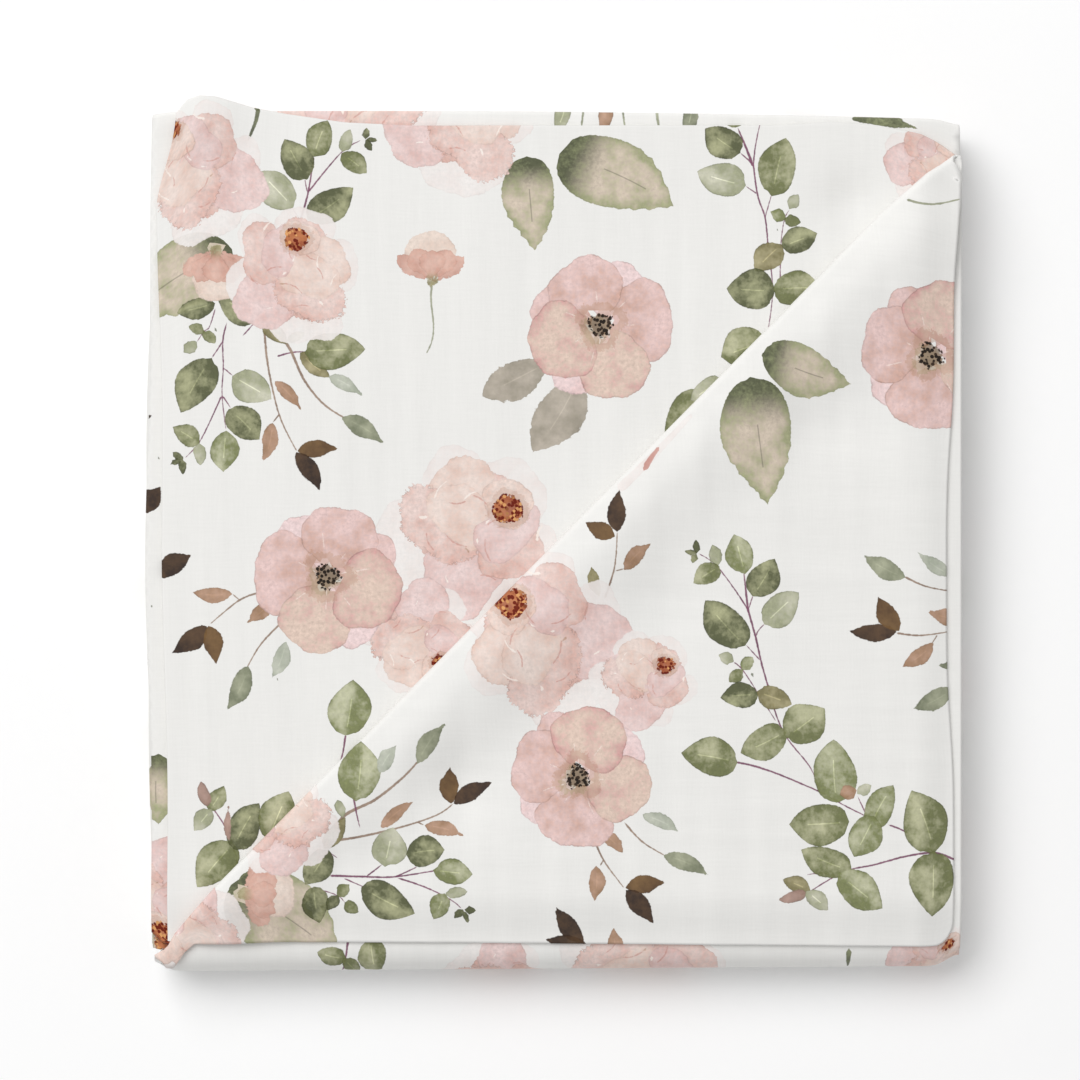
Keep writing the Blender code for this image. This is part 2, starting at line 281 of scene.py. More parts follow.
def roll_point(angle):
    """A point of the roll: -90 degrees is under its front, 0 its foremost line, 90 on top."""
    return ROLL_Y - ROLL_OUT * math.cos(angle), MIDDLE + (TOP - MIDDLE) * math.sin(angle)


def walk_roll():
    """Stations from the lowest layer round the front to the line where the flap's fold starts."""
    left, right, _ = LAYER_ROWS[-1]
    rows = []
    for step in range(1, ROLL_STEPS + 1):
        part = step / ROLL_STEPS
        y, z = roll_point(-math.pi / 2 + (math.pi / 2 + FOLD_START_ANGLE) * part)
        share = float(smooth(part))
        rows.append((
            y,
            z,
            left + (ROLL_LEFT / MM - left) * share,
            right + (ROLL_RIGHT / MM - right) * share,
            0.0,
        ))
    return rows


STATIONS = np.array(walk_layers() + walk_roll())
STATIONS[:, 2:4] *= MM
ALONG = np.concatenate((
    [0.0],
    np.cumsum(np.hypot(np.diff(STATIONS[:, 0]), np.diff(STATIONS[:, 1]))),
))
FACE_END = ALONG[2]
LOWEST_START = ALONG[-5 - ROLL_STEPS]
ROLL_START = ALONG[-1 - ROLL_STEPS]
TOP_START = ALONG[-1]

TOP_ANGLES = np.linspace(FOLD_START_ANGLE, math.pi / 2, ROLL_STEPS)
TOP_Y = np.array([roll_point(angle)[0] for angle in TOP_ANGLES] + [FOLD_END_Y])
TOP_Z = np.array([roll_point(angle)[1] for angle in TOP_ANGLES] + [TOP])
TOP_OUT = np.array([(-math.cos(angle), math.sin(angle)) for angle in TOP_ANGLES] + [(0.0, 1.0)])
TOP_DEPTH = FOLD_END_Y - TOP_Y[0]
TOP_WIDTH = ROLL_LEFT + ROLL_RIGHT
FOLD_SCALE = TOP_DEPTH * TOP_WIDTH / math.hypot(TOP_DEPTH, TOP_WIDTH)


def on_top(across, up, lift):
    """Points over the top layer: up runs from 0 at the front to 1 at the far end of the fold."""
    x = -ROLL_LEFT + across * TOP_WIDTH
    y = TOP_Y[0] + up * TOP_DEPTH
    out_y = np.interp(y, TOP_Y, TOP_OUT[:, 0])
    out_z = np.interp(y, TOP_Y, TOP_OUT[:, 1])
    return x, y + out_y * lift, np.interp(y, TOP_Y, TOP_Z) + out_z * lift


def round_fold(middle, beyond):
    """The cloth at the flap's fold, from how far beyond its line it lies on the flat cloth: how
    far inside the line it comes to rest, and how high over the layer below."""
    reach = 2.0 * np.minimum(middle, 1.0 - middle) * FOLD_SCALE
    radius = np.clip(FOLD_TAPER * reach / math.pi, FOLD_RADIUS_LEAST, FOLD_RADIUS)
    room = np.maximum(reach - math.pi * radius, 0.1 * MM)
    rise = RIDGE_RISE_LEFT + (RIDGE_RISE_RIGHT - RIDGE_RISE_LEFT) * smooth(2.0 * middle)
    rise = rise * smooth(room / RIDGE_FALL)
    lean = np.arctan(math.pi / 2 * rise / RIDGE_CREST)
    bend = (math.pi - lean) * radius
    turn = np.minimum(beyond / radius, math.pi - lean)
    past = np.maximum(beyond - bend, 0.0)
    crept = past + bend * smooth(past / np.minimum(CREEP_LENGTH, room))
    crept = crept - radius * np.sin(lean) * np.exp(-past / radius)
    climb = rise * np.sin(math.pi / 2 * np.minimum(past / RIDGE_CREST, 1.0))
    above = radius * (1.0 + np.cos(lean)) - PITCH + climb
    settled = PITCH + above * np.exp(-((past / RIDGE_FALL) ** RIDGE_FALL_POWER))
    bending = beyond < bend
    inside = np.where(bending, -radius * np.sin(turn), crept)
    return inside, np.where(bending, radius * (1.0 - np.cos(turn)), settled)


def fold_bow(middle):
    """How far the fold's line bows towards the far left, as a share of the top layer's width."""
    return FOLD_BOW * smooth(middle / FOLD_BOW_END) * smooth((1.0 - middle) / FOLD_BOW_END)


def in_top_layer(across, up):
    """Points of the top layer, whose far left half is turned over the diagonal as the flap."""
    middle = (across + up) / 2
    bow = fold_bow(middle)
    beyond = (up - across - bow) * FOLD_SCALE
    turned = beyond > 1e-9
    inside, lift = round_fold(middle, np.maximum(beyond, 0.0))
    apart = inside / FOLD_SCALE - bow
    flap_across = middle + apart / 2
    flap_up = middle - apart / 2
    back = MM * np.interp(flap_across, *zip(*DRAWN_BACK))
    room = np.maximum(flap_across * TOP_DEPTH, 1e-6)
    from_edge = flap_up * TOP_DEPTH * (1.0 - back / room)
    from_side = (1.0 - flap_across) * TOP_WIDTH
    in_side = LOOSE_CORNER - from_side
    in_edge = LOOSE_CORNER - from_edge
    cornered = (in_side > 0.0) & (in_edge > 0.0)
    share = np.maximum(in_side, in_edge) / np.maximum(np.hypot(in_side, in_edge), 1e-9)
    from_side = np.where(cornered, LOOSE_CORNER - in_side * share, from_side)
    from_edge = np.where(cornered, LOOSE_CORNER - in_edge * share, from_edge)
    drawn = inside > 0.0
    flap_across = np.where(drawn, 1.0 - from_side / TOP_WIDTH, flap_across)
    flap_up = np.where(drawn, (from_edge + back) / TOP_DEPTH, flap_up)
    across = np.where(turned, flap_across, across)
    up = np.where(turned, flap_up, up)
    x, y, z = on_top(across, up, np.where(turned, lift, 0.0))
    waist = RIGHT_WAIST * np.exp(-(((y - RIGHT_WAIST_Y) / RIGHT_WAIST_REACH) ** 4))
    waist = waist * smooth((across - RIGHT_WAIST_FROM) / (1.0 - RIGHT_WAIST_FROM))
    return x - np.where(turned, waist, 0.0), y, z


def in_lower_layers(across, along):
    """Points of the face that shows, of the layers below it and of the roll."""
    y, z, left, right = (np.interp(along, ALONG, STATIONS[:, column]) for column in range(4))
    layered = along < ROLL_START
    face_share = smooth((z - height(LAYERS - 2)) / PITCH)
    from_middle = np.minimum(1.0, np.abs(y) / HALF_SIDE)
    bulge = LEFT_BULGE * np.cos(math.pi / 2 * from_middle) ** 2 * (1.0 - face_share)
    wave = SIDE_WAVE * np.sin(2.0 * math.pi * along / SIDE_WAVE_LENGTH)
    tilt = FACE_LEFT_TILT * y / HALF_SIDE * face_share
    left = left + np.where(layered, tilt + bulge + wave, 0.0)
    right = right + np.where(layered, wave, 0.0)
    x = -left + across * (left + right)
    facing = along < FACE_END
    corner = smooth((y - FACE_BACK + FACE_CORNER_REACH) / FACE_CORNER_REACH)
    corner = corner * (1.0 - across) ** FACE_CORNER_SHARP
    x = x + np.where(facing, FACE_CORNER_CUT * corner, 0.0)
    edge_x = [row[0] * MM for row in FACE_EDGE]
    edge_y = [row[1] * MM for row in FACE_EDGE]
    shift = (np.interp(x, edge_x, edge_y) - FACE_BACK) * smooth(y / FACE_BACK)
    y = y + np.where(facing, shift, 0.0)
    away = np.hypot(x - LUMP_AT[0], y - LUMP_AT[1]) / LUMP_REACH
    return x, y, z + np.where(facing, LUMP_RISE * np.exp(-away * away), 0.0)


def give(x, y, z):
    """How the pile gives: bowed back, slanting roll, eased corners, low sides, soft hollows and
    ripples, and upper layers that slope off to the front and to the right."""
    part = np.maximum(0.0, (z - SHEET / 2) / (TOP - SHEET / 2))
    sideways = x / HALF_SIDE
    at_back = smooth((y - BACK_GIVE_FROM) / BACK_GIVE_OVER)
    at_back = at_back * (1.0 - smooth((part - BACK_GIVE_TO_LAYER) / BACK_GIVE_FADE))
    at_front = smooth((-y - ROLL_TILT_FROM) / ROLL_TILT_OVER)
    y = y + at_back * (BACK_BOW * (1.0 - sideways * sideways) - BACK_TILT * sideways)
    y = y + at_front * ROLL_TILT * sideways
    corner = np.where(
        y > 0.0,
        np.where(x < 0.0, BACK_LEFT_GIVE, BACK_RIGHT_GIVE),
        np.where(x < 0.0, FRONT_LEFT_GIVE, FRONT_RIGHT_GIVE),
    )
    near_side = smooth(1.0 - (HALF_SIDE - np.abs(x)) / CORNER_REACH)
    near_end = smooth((np.abs(y) - CORNER_FROM) / CORNER_OVER)
    y = y - np.sign(y) * corner * near_side * near_side * near_end
    side = smooth(1.0 - (HALF_SIDE - np.abs(x)) / SIDE_REACH)
    drop = SIDE_DROP * side * side * (z - SHEET / 2)
    upper = part ** 3
    for hollow_x, hollow_y, reach, depth in HOLLOW_ROWS:
        away = np.hypot(x - hollow_x * MM, y - hollow_y * MM) / (reach * MM)
        drop = drop + depth * MM * np.exp(-away * away) * upper
    for length, rise, lean, shift in RIPPLE_ROWS:
        swell = RIPPLE_SWELL * np.sin(2.0 * math.pi * y / RIPPLE_SPAN + 3.0 * shift)
        swell = 1.0 - RIPPLE_SWELL + swell
        turn = 2.0 * math.pi * (x + lean * y) / (length * MM) + shift
        drop = drop + rise * MM * np.sin(turn) * swell * upper
    front = smooth(1.0 - (y - FRONT_SLOPE_Y) / FRONT_SLOPE_REACH)
    right = smooth(1.0 - (RIGHT_SLOPE_X - x) / RIGHT_SLOPE_REACH)
    return x, y, z - drop - (FRONT_SLOPE * front + RIGHT_SLOPE * right) * upper


def folded(across, along):
    """The folded places of points on the flat cloth, as rows of x, y and z."""
    top = along > TOP_START
    over = in_top_layer(across, np.maximum(along - TOP_START, 0.0) / TOP_DEPTH)
    under = in_lower_layers(across, along)
    return np.column_stack(give(*(np.where(top, a, b) for a, b in zip(over, under))))


def beyond_fold(across, along):
    """How far points on the flat top layer lie beyond the line of the flap's fold."""
    up = (along - TOP_START) / TOP_DEPTH
    return (up - across - fold_bow((across + up) / 2)) * FOLD_SCALE


def shown(across, along):
    """How closely the cloth is divided at a place on the flat strip."""
    gap = np.full(len(across), HIDDEN)
    x, y, _ = in_lower_layers(across, along)
    layer = np.interp(along, ALONG, STATIONS[:, 4])
    side = np.minimum(across, 1.0 - across) * TOP_WIDTH
    lower = (along >= FACE_END) & (layer >= LAYERS - 1 - SHOWING_LAYERS) & (along < ROLL_START)
    gap[lower & ((side < SIDE_STRIP) | (y > BACK_STRIP_Y))] = EDGED
    gap[(along > LOWEST_START) & (along < ROLL_START)] = PLAIN
    gap[(along >= ROLL_START) & (along <= TOP_START)] = ROLLED
    line = TOP_Y[0] + (x + ROLL_LEFT) / TOP_WIDTH * TOP_DEPTH
    gap[(along < FACE_END) & (y > line - UNDER_FLAP)] = FINE
    top = along > TOP_START
    beyond = beyond_fold(across, along)
    gap[top & (beyond > -BEFORE_FOLD)] = FINE
    gap[top & (along - TOP_START < FRONT_STRIP)] = FINE
    return gap


def strip_points():
    """The points that divide the flat strip, and the lines that its triangles must keep."""
    last = TOP_START + TOP_DEPTH
    lines = []
    for station, along in enumerate(ALONG):
        probe = np.linspace(0.0, 1.0, SIDE_PROBES)
        gaps = shown(probe, np.full(len(probe), along + 1e-6 if station < 2 else along))
        row = [0.0]
        while row[-1] < 1.0:
            row.append(row[-1] + float(np.interp(row[-1], probe, gaps)) / TOP_WIDTH)
        lines.append([(min(across, 1.0), along) for across in row])
    for across in (0.0, 1.0):
        row = [0.0]
        while row[-1] < last:
            gap = float(shown(np.array([across]), np.array([row[-1] + 1e-6]))[0])
            row.append(min(last, row[-1] + gap))
        lines.append([(across, along) for along in row])
    far = np.linspace(0.0, 1.0, int(TOP_WIDTH / FINE) + 1)
    lines += [[(across, along) for across in far] for along in (last, last - EDGE_LINE, EDGE_LINE)]
    near_edge = EDGE_LINE / TOP_WIDTH
    for across in (near_edge, 1.0 - near_edge):
        for first, end in ((EDGE_LINE, FACE_END - FINE), (ROLL_START, last - EDGE_LINE)):
            steps = int((end - first) / FINE)
            lines.append([(across, along) for along in np.linspace(first, end, steps)])
    for distance in BEND_LINES:
        offset = distance * MM / FOLD_SCALE
        row = []
        steps = int(math.hypot(TOP_WIDTH, TOP_DEPTH) / FINE)
        eased = (1.0 - np.cos(np.linspace(0.0, math.pi, steps + 1))) / 2
        for part in eased * EASED + np.linspace(0.0, 1.0, steps + 1) * (1.0 - EASED):
            middle = abs(offset) / 2 + (1.0 - abs(offset)) * part
            apart = offset + float(fold_bow(middle))
            across = min(1.0, max(0.0, middle - apart / 2))
            up = min(1.0, max(0.0, middle + apart / 2))
            row.append((across, TOP_START + up * TOP_DEPTH))
        lines.append(row)
    kept = []
    points = []
    for line in lines:
        first = len(points)
        points += line
        kept += [(first + step, first + step + 1) for step in range(len(line) - 1)]
    inner = []
    for gap in (FINE, ROLLED, EDGED, PLAIN, HIDDEN):
        count = int(TOP_WIDTH / gap)
        along = np.arange(gap / 2, last, gap * ROW_PITCH)
        grid_along = np.repeat(along, count)
        shift = np.tile(np.arange(count), len(along))
        shift = shift + np.repeat(np.arange(len(along)) % 2, count) / 2
        grid_across = (shift + ROW_START) / count
        side = np.minimum(grid_across, 1.0 - grid_across) * TOP_WIDTH
        inside = side > (EDGE_LINE + TO_EDGE * gap if gap < EDGED else TO_EDGE_COARSE * gap)
        grid_across, grid_along = grid_across[inside], grid_along[inside]
        match = np.abs(shown(grid_across, grid_along) - gap) < 1e-7
        grid_across, grid_along = grid_across[match], grid_along[match]
        near = np.min(np.abs(grid_along[:, None] - ALONG[None, :]), axis=1) < TO_LINE * gap
        beyond = beyond_fold(grid_across, grid_along)
        bending = (beyond > FREE_OF_POINTS[0]) & (beyond < FREE_OF_POINTS[1])
        bending &= grid_along > TOP_START
        keep = ~near & ~bending & (grid_along < last - EDGE_LINE - TO_EDGE * gap)
        keep &= grid_along > EDGE_LINE + TO_EDGE * gap
        inner.append(np.column_stack((grid_across[keep], grid_along[keep])))
    return points + [tuple(row) for row in np.concatenate(inner)], kept


points, kept_lines = strip_points()
strip = [Vector((across * TOP_WIDTH, along)) for across, along in points]
strip, _, faces, _, _, _ = delaunay_2d_cdt(strip, kept_lines, [], 0, 1e-6)
strip = np.array([tuple(point) for point in strip])
faces = np.array(faces)
places = folded(strip[:, 0] / TOP_WIDTH, strip[:, 1])
middle = (places.min(axis=0) + places.max(axis=0)) / 2
places[:, :2] -= middle[:2]

cloth_mesh = bpy.data.meshes.new("printed_muslin")
cloth_mesh.from_pydata(places.tolist(), [], faces.tolist())
cloth_mesh.validate()
cloth_mesh.shade_smooth()
cloth = bpy.data.objects.new("printed_muslin", cloth_mesh)
bpy.context.scene.collection.objects.link(cloth)

# The print: loose watercolour flowers and leaves, drawn from a few sizes each. A shape gives, at
# any point of the cloth, its half width there, how far to the side of its middle line the point
# is, how far to the side of its vein, and how far along it is. Lengths are in mm.
LONG_WAY = 50.0
LEAF_WAVER = 0.09
LEAF_TEETH = 9.0


def leaf(x, y, tip_x, tip_y, width, full, blunt, sharp, bend, seed, tail=0.0, teeth=0.0,
         vein=(0.14, 0.72)):
    """A leaf or bud from its stalk end to its tip: widest at full, blunt at the stalk and sharp
    at the tip, with the vein between two places along it."""
    length = math.hypot(tip_x - x, tip_y - y)
    ex, ey = (tip_x - x) / length, (tip_y - y) / length
    power = math.log(0.5) / math.log(full)

    def shape(px, py):
        dx, dy = px - x, py - y
        along = (dx * ex + dy * ey) / length
        inner = np.clip(along, 0.0, 1.0)
        side = -dx * ey + dy * ex - bend * length * 4.0 * inner * (1.0 - inner)
        wave = np.sin(math.pi * np.clip(inner, 1e-4, 0.9999) ** power)
        half = width / 2 * wave ** (blunt * (1.0 - inner) + sharp * inner)
        half = half * (1.0 + LEAF_WAVER * np.sin(5.0 * inner + seed + (side > 0.0) * 2.0))
        half = np.maximum(half, tail * smooth((inner - 0.5) / 0.3))
        notch = np.abs((inner * LEAF_TEETH + seed + (side > 0.0) * 0.4) % 1.0 - 0.5)
        half = half + teeth * (0.25 - notch) * smooth((inner - 0.45) / 0.2)
        past = np.maximum(-along, along - 1.0) * length
        half = np.where(past > 0.0, -past, half)
        veined = (inner > vein[0]) & (inner < vein[1])
        return half, side, np.where(veined, side, LONG_WAY), inner

    return shape, ((x + tip_x) / 2, (y + tip_y) / 2, length / 2 + width / 2)


def petal(x, y, length, width, turn, ruffle, seed, share):
    """A rounded petal that grows from a point, widest at a share of its length, with an uneven
    rim."""
    turn = math.radians(turn)
    ex, ey = math.cos(turn), math.sin(turn)
    cx, cy = x + ex * length * share, y + ey * length * share

    def shape(px, py):
        dx, dy = px - cx, py - cy
        along = dx * ex + dy * ey
        side = -dx * ey + dy * ex
        angle = np.arctan2(side, along)
        edge = np.hypot(length * (1.0 - share) * np.cos(angle), width / 2 * np.sin(angle))
        wave = np.sin(3.0 * angle + seed) + 0.6 * np.sin(5.0 * angle + 1.7 * seed)
        wave = wave + 0.4 * np.sin(11.0 * angle + 2.3 * seed)
        inside = edge * (1.0 + ruffle * wave) - np.hypot(dx, dy)
        inner = np.clip((along + length * share) / length, 0.0, 1.0)
        return inside, np.zeros_like(side), np.full_like(side, LONG_WAY), inner

    return shape, (cx, cy, max(length * (1.0 - share), width / 2) * 1.25)


def stem(path, width, thin=0.6):
    """A stem along a path, thinner towards its end."""
    path = np.array(path, dtype=float)
    steps = np.diff(path, axis=0)
    runs = np.hypot(steps[:, 0], steps[:, 1])
    total = runs.sum()

    def shape(px, py):
        best = np.full(px.shape, 1e9)
        side = np.zeros(px.shape)
        along = np.zeros(px.shape)
        before = 0.0
        for index, ((x, y), (sx, sy), run) in enumerate(zip(path, steps, runs)):
            dx, dy = px - x, py - y
            forward = (dx * sx + dy * sy) / run
            lateral = (dy * sx - dx * sy) / run
            low = -LONG_WAY if index == 0 else 0.0
            high = run + LONG_WAY if index == len(runs) - 1 else run
            away = np.hypot(forward - np.clip(forward, low, high), lateral)
            nearer = away < best
            best = np.where(nearer, away, best)
            side = np.where(nearer, np.where(lateral < 0.0, -away, away), side)
            along = np.where(nearer, before + forward, along)
            before += run
        half = width / 2 * (1.0 - (1.0 - thin) * np.clip(along / total, 0.0, 1.0))
        past = np.maximum(-along, along - total)
        half = np.where(past > -0.2, half - (past + 0.2), half)
        return half, side, np.full_like(side, LONG_WAY), np.clip(along / total, 0.0, 1.0)

    centre = (path.min(axis=0) + path.max(axis=0)) / 2
    return shape, (centre[0], centre[1], np.hypot(*(path - centre).T).max() + width)


def curve(points, steps=7):
    """A smooth path through a few points."""
    points = np.array([points[0], *points, points[-1]], dtype=float)
    path = []
    for a, b, c, d in zip(points[:-3], points[1:-2], points[2:-1], points[3:]):
        for t in np.linspace(0.0, 1.0, steps, endpoint=False):
            path.append(0.5 * (2 * b + (c - a) * t + (2 * a - 5 * b + 4 * c - d) * t * t
                               + (3 * b - a - 3 * c + d) * t ** 3))
    return np.array(path + [points[-1]])


INKS = {
    # name: two washes that mingle
    "dark": ("#acad86", "#565a3a"),
    "green": ("#bcbc99", "#6e7349"),
    "fresh": ("#c4c5a6", "#7a8053"),
    "pale": ("#cecdb8", "#a0a385"),
    "olive": ("#b2a983", "#7d7650"),
    "sage": ("#a8ab92", "#787d66"),
    "mist": ("#c6c9bb", "#a6ac9b"),
    "grey": ("#bcb2a4", "#9c9485"),
    "tan": ("#d4c5b3", "#a3a57f"),
    "moss": ("#555a43", "#858a67"),
    "rust": ("#c39f88", "#9c7b60"),
    "pink_brown": ("#bb9c90", "#9b7f73"),
    "bud": ("#59422e", "#33241c"),
    "brown_bud": ("#7c5f3c", "#5a4129"),
    "plum": ("#86546c", "#6c3c58"),
    "twig": ("#a48d7c", "#866f60"),
    "stalk": ("#a5a78e", "#8d9078"),
    "petal_pink": ("#e6c8c4", "#cda79a"),
    "petal_tan": ("#dfc7b8", "#cfa09c"),
    "petal_pale": ("#ecd4d3", "#e4c3c0"),
    "blush": ("#e8d1ca", "#d8b1a6"),
    "mauve": ("#e9d2cf", "#dab8b2"),
    "beige": ("#ecdad1", "#dfc1b4"),
    "outer": ("#efeae7", "#ebe1dd"),
    "rim": ("#d3a59b", "#c48f85"),
    "peach": ("#e0b9aa", "#ca9c8d"),
    "shell": ("#ead9cd", "#dec6b8"),
    "heart": ("#c4753f", "#93401d"),
    "fleck": ("#6b1c0c", "#dca268"),
    "stamen": ("#1f1712", "#3a2c22"),
    "tawny": ("#c4a08b", "#a98470"),
    "cream": ("#f8efe8", "#f4e6dc"),
}
DEPTH = 6
SOLID = (-2.0, -1.0)
pages = {"face": [], "flap": [], "roll": [], "margin": []}


def paint(page, shape, ink, strength, rim, ragged, vein=0.0, spread=(0.3, 0.0, 0.0), flecks=0.0,
          fade=SOLID, lean=0.0):
    """Adds a shape to a page. Strength is how far it covers, rim how dark its edge dries, ragged
    how uneven the edge is in mm, and vein a pale middle line, or a dark one below 0. Spread is
    how much of the second wash lies at the root, more of it at the tip, and more at the edge, and
    lean how much more on one half. It fades in between the two places along it in fade."""
    pages[page].append((*shape, ink, strength, vein, rim, ragged, spread, flecks, fade, lean))


def rows_of(table):
    """A table's rows, numbered through its pages, each with the name of its page."""
    return enumerate((page, *row) for page, rows in table.items() for row in rows)


def ahead_of(x, y, angle, distance):
    """The place that lies at a distance from another, in a direction."""
    return x + distance * math.cos(angle), y + distance * math.sin(angle)


# Stems and twigs, as smooth paths through a few points, in mm.
STEM_ROWS = {
    # width, points
    ("face", "plum"): (
        (0.9, (-94.5, 116), (-91.5, 126), (-89, 141)), (0.7, (-91.5, 127), (-79, 142), (-71, 147)),
        (0.6, (-91.5, 127), (-92.5, 132.5)), (0.5, (-94.5, 117.5), (-97.5, 122)),
        (0.6, (-121.5, 79), (-123, 72), (-122.8, 62), (-123.3, 52), (-121.8, 38.5)),
        (0.6, (-122.9, 72), (-127.5, 65)), (0.6, (-122.8, 62), (-118.5, 58.5)),
        (0.6, (-123.3, 52), (-131, 35.5), (-137.5, 28)), (0.6, (-123.3, 52), (-120, 47)),
        (0.5, (-125.5, 85), (-128, 77), (-130, 75.5), (-133, 71)),
        (0.6, (-115.5, 74), (-110.5, 79.5)), (0.7, (-103, 66.2), (-97, 67.8), (-91, 68)),
        (0.5, (-131.5, 35.5), (-131.8, 33)), (1.1, (74.3, 137), (72, 143), (68.5, 151.5)),
        (0.6, (74.3, 137), (75.2, 145), (77.3, 155)),
        (0.7, (74.3, 138), (76, 126), (78.7, 118), (79.8, 108), (81.5, 90), (79, 71)),
        (0.6, (76, 126.5), (71, 130)), (0.5, (78.7, 118), (81.3, 127)),
        (0.8, (74, 138), (69.5, 142)), (0.5, (84.3, 94), (84.6, 108), (86, 117.5), (88.3, 121.5)),
        (0.8, (-77.3, -74.5), (-78.5, -82), (-81, -89)),
        (0.8, (-117, -124.5), (-120.5, -112), (-125, -104), (-129, -99.5)),
    ),
    ("face", "twig"): (
        (0.9, (-107.5, 76), (-106.5, 65), (-104, 52), (-101, 42), (-95.5, 31)),
        (0.7, (-101.8, 45), (-104.5, 41.5)),
        (1.2, (-103, 74), (-98.5, 70), (-93, 58), (-86, 49), (-78, 43.5)),
        (0.8, (-109.5, -21.5), (-117, -24.5), (-128, -33.5)), (0.6, (-116.5, -24.5), (-119.5, -22)),
        (0.8, (-101.5, -33), (-109, -41), (-114, -49.5)),
    ),
    ("face", "moss"): (
        (1.7, (-109.8, 158.2), (-110.8, 153.5), (-113.6, 146.5)),
        (1.6, (-111, 158.3), (-109, 157.6)),
    ),
    ("flap", "twig"): (
        (0.8, (18.7, -24), (22.5, -12), (23.6, 1)), (0.6, (22.5, -13.5), (26, -12.5)),
        (0.8, (130, -15.5), (138, -19.2), (147.4, -21)),
        (0.8, (127, -36.5), (136, -37.4), (147.4, -36)), (0.6, (142.5, -37), (140, -41)),
        (0.8, (15, -113), (19, -121.5), (26.5, -131.5)), (0.6, (18.6, -120.5), (17, -123.5)),
        (0.8, (26.5, -107), (33, -114), (41.5, -119.2)),
        (1.4, (-84, -115.5), (-78, -104.5), (-66, -98), (-56, -90), (-50, -83.5)),
        (1.0, (-82, -113.5), (-70, -111.5), (-55, -108), (-43, -104), (-37, -99.8)),
        (0.6, (-51, -106.5), (-47.5, -108)),
    ),
    ("flap", "plum"): (
        (1.0, (72.3, -29), (71.5, -22), (70.6, -13.5)),
        (0.6, (72.3, -28), (67, -20), (60, -11), (53, -6.5)), (0.6, (72.3, -28), (74, -22.5)),
        (0.8, (72.2, -28), (75, -38), (77, -47), (79.5, -56), (83, -68), (87, -76), (95, -86), (99, -95)),
        (0.6, (75, -38), (76, -35.5), (78.5, -33)), (0.5, (76.6, -46.5), (71, -40.5)),
        (0.5, (66.5, -47), (70, -50), (76, -59), (83, -70)),
        (0.8, (68, -84.5), (75, -86), (85, -89.5), (100, -96), (108, -100.5), (116, -104.5)),
        (0.6, (116, -104), (112.8, -97)), (0.7, (124, -107.5), (131, -110.5), (141, -118)),
        (0.9, (151.5, -122), (146, -119.5), (140, -118), (130, -119.5), (119, -122.5), (108, -125),
         (95, -132.5)),
        (0.6, (107, -127), (100, -125.6), (94, -126.2)),
        (0.8, (-74, -97), (-73, -103), (-71.8, -108.5)),
        (0.9, (-83.5, -126.5), (-70, -127), (-59, -127), (-43, -124.5)),
        (0.7, (-69.5, -127), (-63, -122)), (0.7, (-58.5, -127), (-50, -123)),
        (0.6, (-78, -127.5), (-70, -131)),
        (0.7, (-58, -127.3), (-47, -131), (-38, -135.5), (-34, -138.8)),
        (0.6, (-85, -116.5), (-79.5, -120.5)), (0.5, (-89, -130.8), (-80, -134), (-77, -137)),
    ),
    ("flap", "blush"): ((10.0, (-137, -150), (-142, -156), (-148, -164)),),
    ("flap", "outer"): ((3.4, (25, 17), (37, 29), (51, 44)),),
    ("flap", "rim"): ((2.4, (34, 24.5), (36, 28), (39, 32)),),
    ("flap", "stalk"): ((1.0, (131, 124), (136, 122.6), (142, 122.5), (151, 124.5)),),
    ("roll", "plum"): ((0.9, (-76.3, -150), (-77.5, -157), (-79.2, -163)),),
    ("roll", "moss"): ((2.2, (110, -155), (110, -161)),),
    ("margin", "sage"): (
        (1.0, (11.5, 160), (10, 149)), (0.9, (25.5, 160), (27, 149)), (1.4, (38, 160), (39.5, 150)),
    ),
    ("margin", "moss"): ((1.0, (-112.5, 162), (-113, 150)),),
    ("margin", "blush"): ((9.0, (-149, -158), (-144, -162)),),
}
for (page, ink), rows in STEM_ROWS.items():
    for width, *path in rows:
        paint(page, stem(curve(path), width, thin=0.5), ink, 0.95, rim=0.1, ragged=0.14,
              spread=(0.5, -0.4, 0.0))

# Small grey specks.
SPECK_ROWS = {
    # x, y, size
    "face": ((-126, 77, 1.6), (83, 114, 1.2), (5, 0, 1.4), (4, -6.5, 1.6), (-103, -53, 1.2)),
    "flap": ((119, 111, 1.3), (73.5, -51.5, 1.6), (149, -69.5, 2.0)),
    "margin": ((-147.5, 29.5, 1.6), (-145, -29.5, 1.4), (-150, -26, 1.4)),
}
for _, (page, x, y, size) in rows_of(SPECK_ROWS):
    paint(page, stem(((x, y), (x + 0.5 * size, y - size)), 0.7 * size), "moss", 0.8, rim=0.5,
          ragged=0.2)

